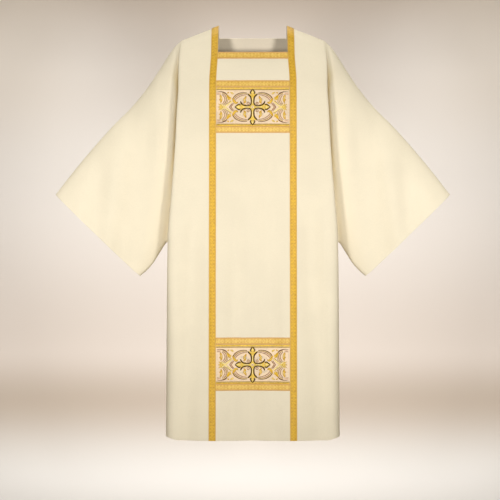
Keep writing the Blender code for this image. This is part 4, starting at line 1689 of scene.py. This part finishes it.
class OBJECT_OT_dalmatic_stage(bpy.types.Operator):
    """Sets the floor, the backdrop, the lights and the camera"""

    bl_idname = "object.dalmatic_stage"
    bl_label = "Stage"

    # The paper's colour by height, with light and shade painted in: a painted shade low on the sweep
    # where the floor turns up into the wall, painted light halfway up, and painted shade again at the
    # top
    PAPER_PAINTED_LIGHT_AND_SHADE = (
        (0.0, (0.64, 0.62, 0.60)),
        (0.125, (0.42, 0.35, 0.29)),
        (0.22, (0.60, 0.53, 0.48)),
        (0.60, (0.94, 0.89, 0.86)),
        (0.75, (0.93, 0.87, 0.83)),
        (1.0, (0.40, 0.32, 0.25)),
    )
    FLOOR = -1.46
    WALL = 1.9
    SWEEP = 1.1
    KEY = (1.0, 0.988, 0.972)
    WHITE = (1.0, 0.99, 0.97)
    LAMPS = named_rows(
        "name place towards size power colour spread",
        ("key_left", (-1.05, -3.3, -0.5), (-0.78, 0, -0.52), 0.45, 8.65, KEY, 54),
        ("key_right", (1.05, -3.3, -0.5), (0.78, 0, -0.52), 0.45, 8.65, KEY, 54),
        ("top", (0, 0.7, 2.4), (0, 0.9, -1.4), 2.4, 14, WHITE, 80),
        ("floor", (0, 1.0, 2.4), (0, 1.3, -1.4), 1.2, 14, WHITE, 60),
    )

    def execute(self, context):
        self.backdrop()
        light = settings().light
        for lamp in self.LAMPS:
            self.hung(lamp, lamp.power * light)
        world = bpy.data.worlds.new("studio")
        world.use_nodes = True
        back = world.node_tree.nodes["Background"]
        back.inputs["Color"].default_value = (1.0, 0.87, 0.50, 1)
        back.inputs["Strength"].default_value = 0.13 * light
        context.scene.world = world
        context.scene.view_settings.view_transform = "Standard"
        lens = bpy.data.cameras.new("view")
        lens.lens, lens.sensor_width, lens.sensor_height = 135.15, 36.0, 36.0
        lens.clip_end = 60
        camera = linked("view", lens)
        camera.location = (-0.0082, -5.5, -0.656)
        camera.rotation_euler = (np.pi / 2, 0, 0)
        context.scene.camera = camera
        return {"FINISHED"}

    @staticmethod
    def hung(lamp, power):
        data = bpy.data.lights.new(lamp.name, "AREA")
        data.shape, data.size, data.energy, data.color = "DISK", lamp.size, power, lamp.colour
        data.spread = np.radians(lamp.spread)
        made = linked(lamp.name, data)
        made.location = lamp.place
        aim = Vector(lamp.towards) - Vector(lamp.place)
        made.rotation_mode = "QUATERNION"
        made.rotation_quaternion = aim.to_track_quat("-Z", "Y")

    def paper(self):
        """Paper with light and shade painted into its colour, by height and by distance from the
        middle.
        """
        nodes = Finish("studio paper")
        place = nodes.place()
        aside, _, up = nodes.parts(place)
        aside = nodes.math("ABSOLUTE", aside)
        # the paper's colour by height, with painted light and shade
        toned = nodes.ramp(nodes.math("MULTIPLY_ADD", up, 0.51, 0.745), self.PAPER_PAINTED_LIGHT_AND_SHADE)
        high = nodes.remap(up, -0.4, 0.05)
        # painted shade above the middle, and painted light towards the sides, both high up on the
        # wall
        for low, far, share, colour in (
            (0.8, 0.25, 0.42, (0.34, 0.27, 0.21)),
            (0.5, 1.0, 0.42, (1.0, 0.9, 0.8)),
        ):
            amount = nodes.times(high, nodes.remap(aside, low, far))
            toned = nodes.mixed(nodes.times(amount, share), toned, colour)
        mottle = nodes.times(nodes.mottle(place, 1.5), 0.03)
        looks = {"Base Color": nodes.mixed(mottle, toned, (0.5, 0.42, 0.36)), "Roughness": 0.85}
        return nodes.completed(looks)

    def backdrop(self):
        """A floor that sweeps up into a wall."""
        turn = np.linspace(0, np.pi / 2, 17)
        y = self.WALL - self.SWEEP + self.SWEEP * np.sin(turn)
        z = self.FLOOR + self.SWEEP - self.SWEEP * np.cos(turn)
        line_y = [-9.0, -4.0, -1.0, *y, self.WALL, self.WALL]
        line_z = [*[self.FLOOR] * 3, *z, 1.5, 4.5]
        x = np.linspace(-8, 8, 9)
        points = [(a, b, c) for b, c in zip(line_y, line_z) for a in x]
        corners = [r * 9 + c for r in range(len(line_y) - 1) for c in range(8)]
        mesh = bpy.data.meshes.new("floor")
        mesh.from_pydata(points, [], [(at, at + 1, at + 10, at + 9) for at in corners])
        mesh.shade_smooth()
        mesh.materials.append(self.paper())
        linked("floor", mesh)


STEPS = (
    OBJECT_OT_dalmatic_body,
    OBJECT_OT_dalmatic_sleeves,
    OBJECT_OT_dalmatic_braids,
    OBJECT_OT_dalmatic_bands,
    OBJECT_OT_dalmatic_embroidery,
    OBJECT_OT_dalmatic_stitches,
    OBJECT_OT_dalmatic_declare,
    OBJECT_OT_dalmatic_stage,
)


class VIEW3D_PT_dalmatic(bpy.types.Panel):
    """The steps that make the garment, in order"""

    bl_label = "Dalmatic"
    bl_idname = "VIEW3D_PT_dalmatic"
    bl_space_type = "VIEW_3D"
    bl_region_type = "UI"
    bl_category = "Dalmatic"

    def draw(self, context):
        chosen = context.scene.dalmatic
        for name in chosen.bl_rna.properties.keys():
            if name not in ("rna_type", "name"):
                self.layout.prop(chosen, name)
        for step in STEPS:
            self.layout.operator(step.bl_idname)


CLASSES = (DalmaticSettings, *STEPS, VIEW3D_PT_dalmatic)


def register():
    for one in CLASSES:
        bpy.utils.register_class(one)
    bpy.types.Scene.dalmatic = PointerProperty(type=DalmaticSettings)


def unregister():
    del bpy.types.Scene.dalmatic
    for one in reversed(CLASSES):
        bpy.utils.unregister_class(one)


def main():
    register()
    bpy.ops.object.dalmatic_body()
    bpy.ops.object.dalmatic_sleeves()
    bpy.ops.object.dalmatic_braids()
    bpy.ops.object.dalmatic_bands()
    bpy.ops.object.dalmatic_embroidery()
    bpy.ops.object.dalmatic_stitches()
    bpy.ops.object.dalmatic_declare()
    bpy.ops.object.dalmatic_stage()


if __name__ == "__main__":
    main()
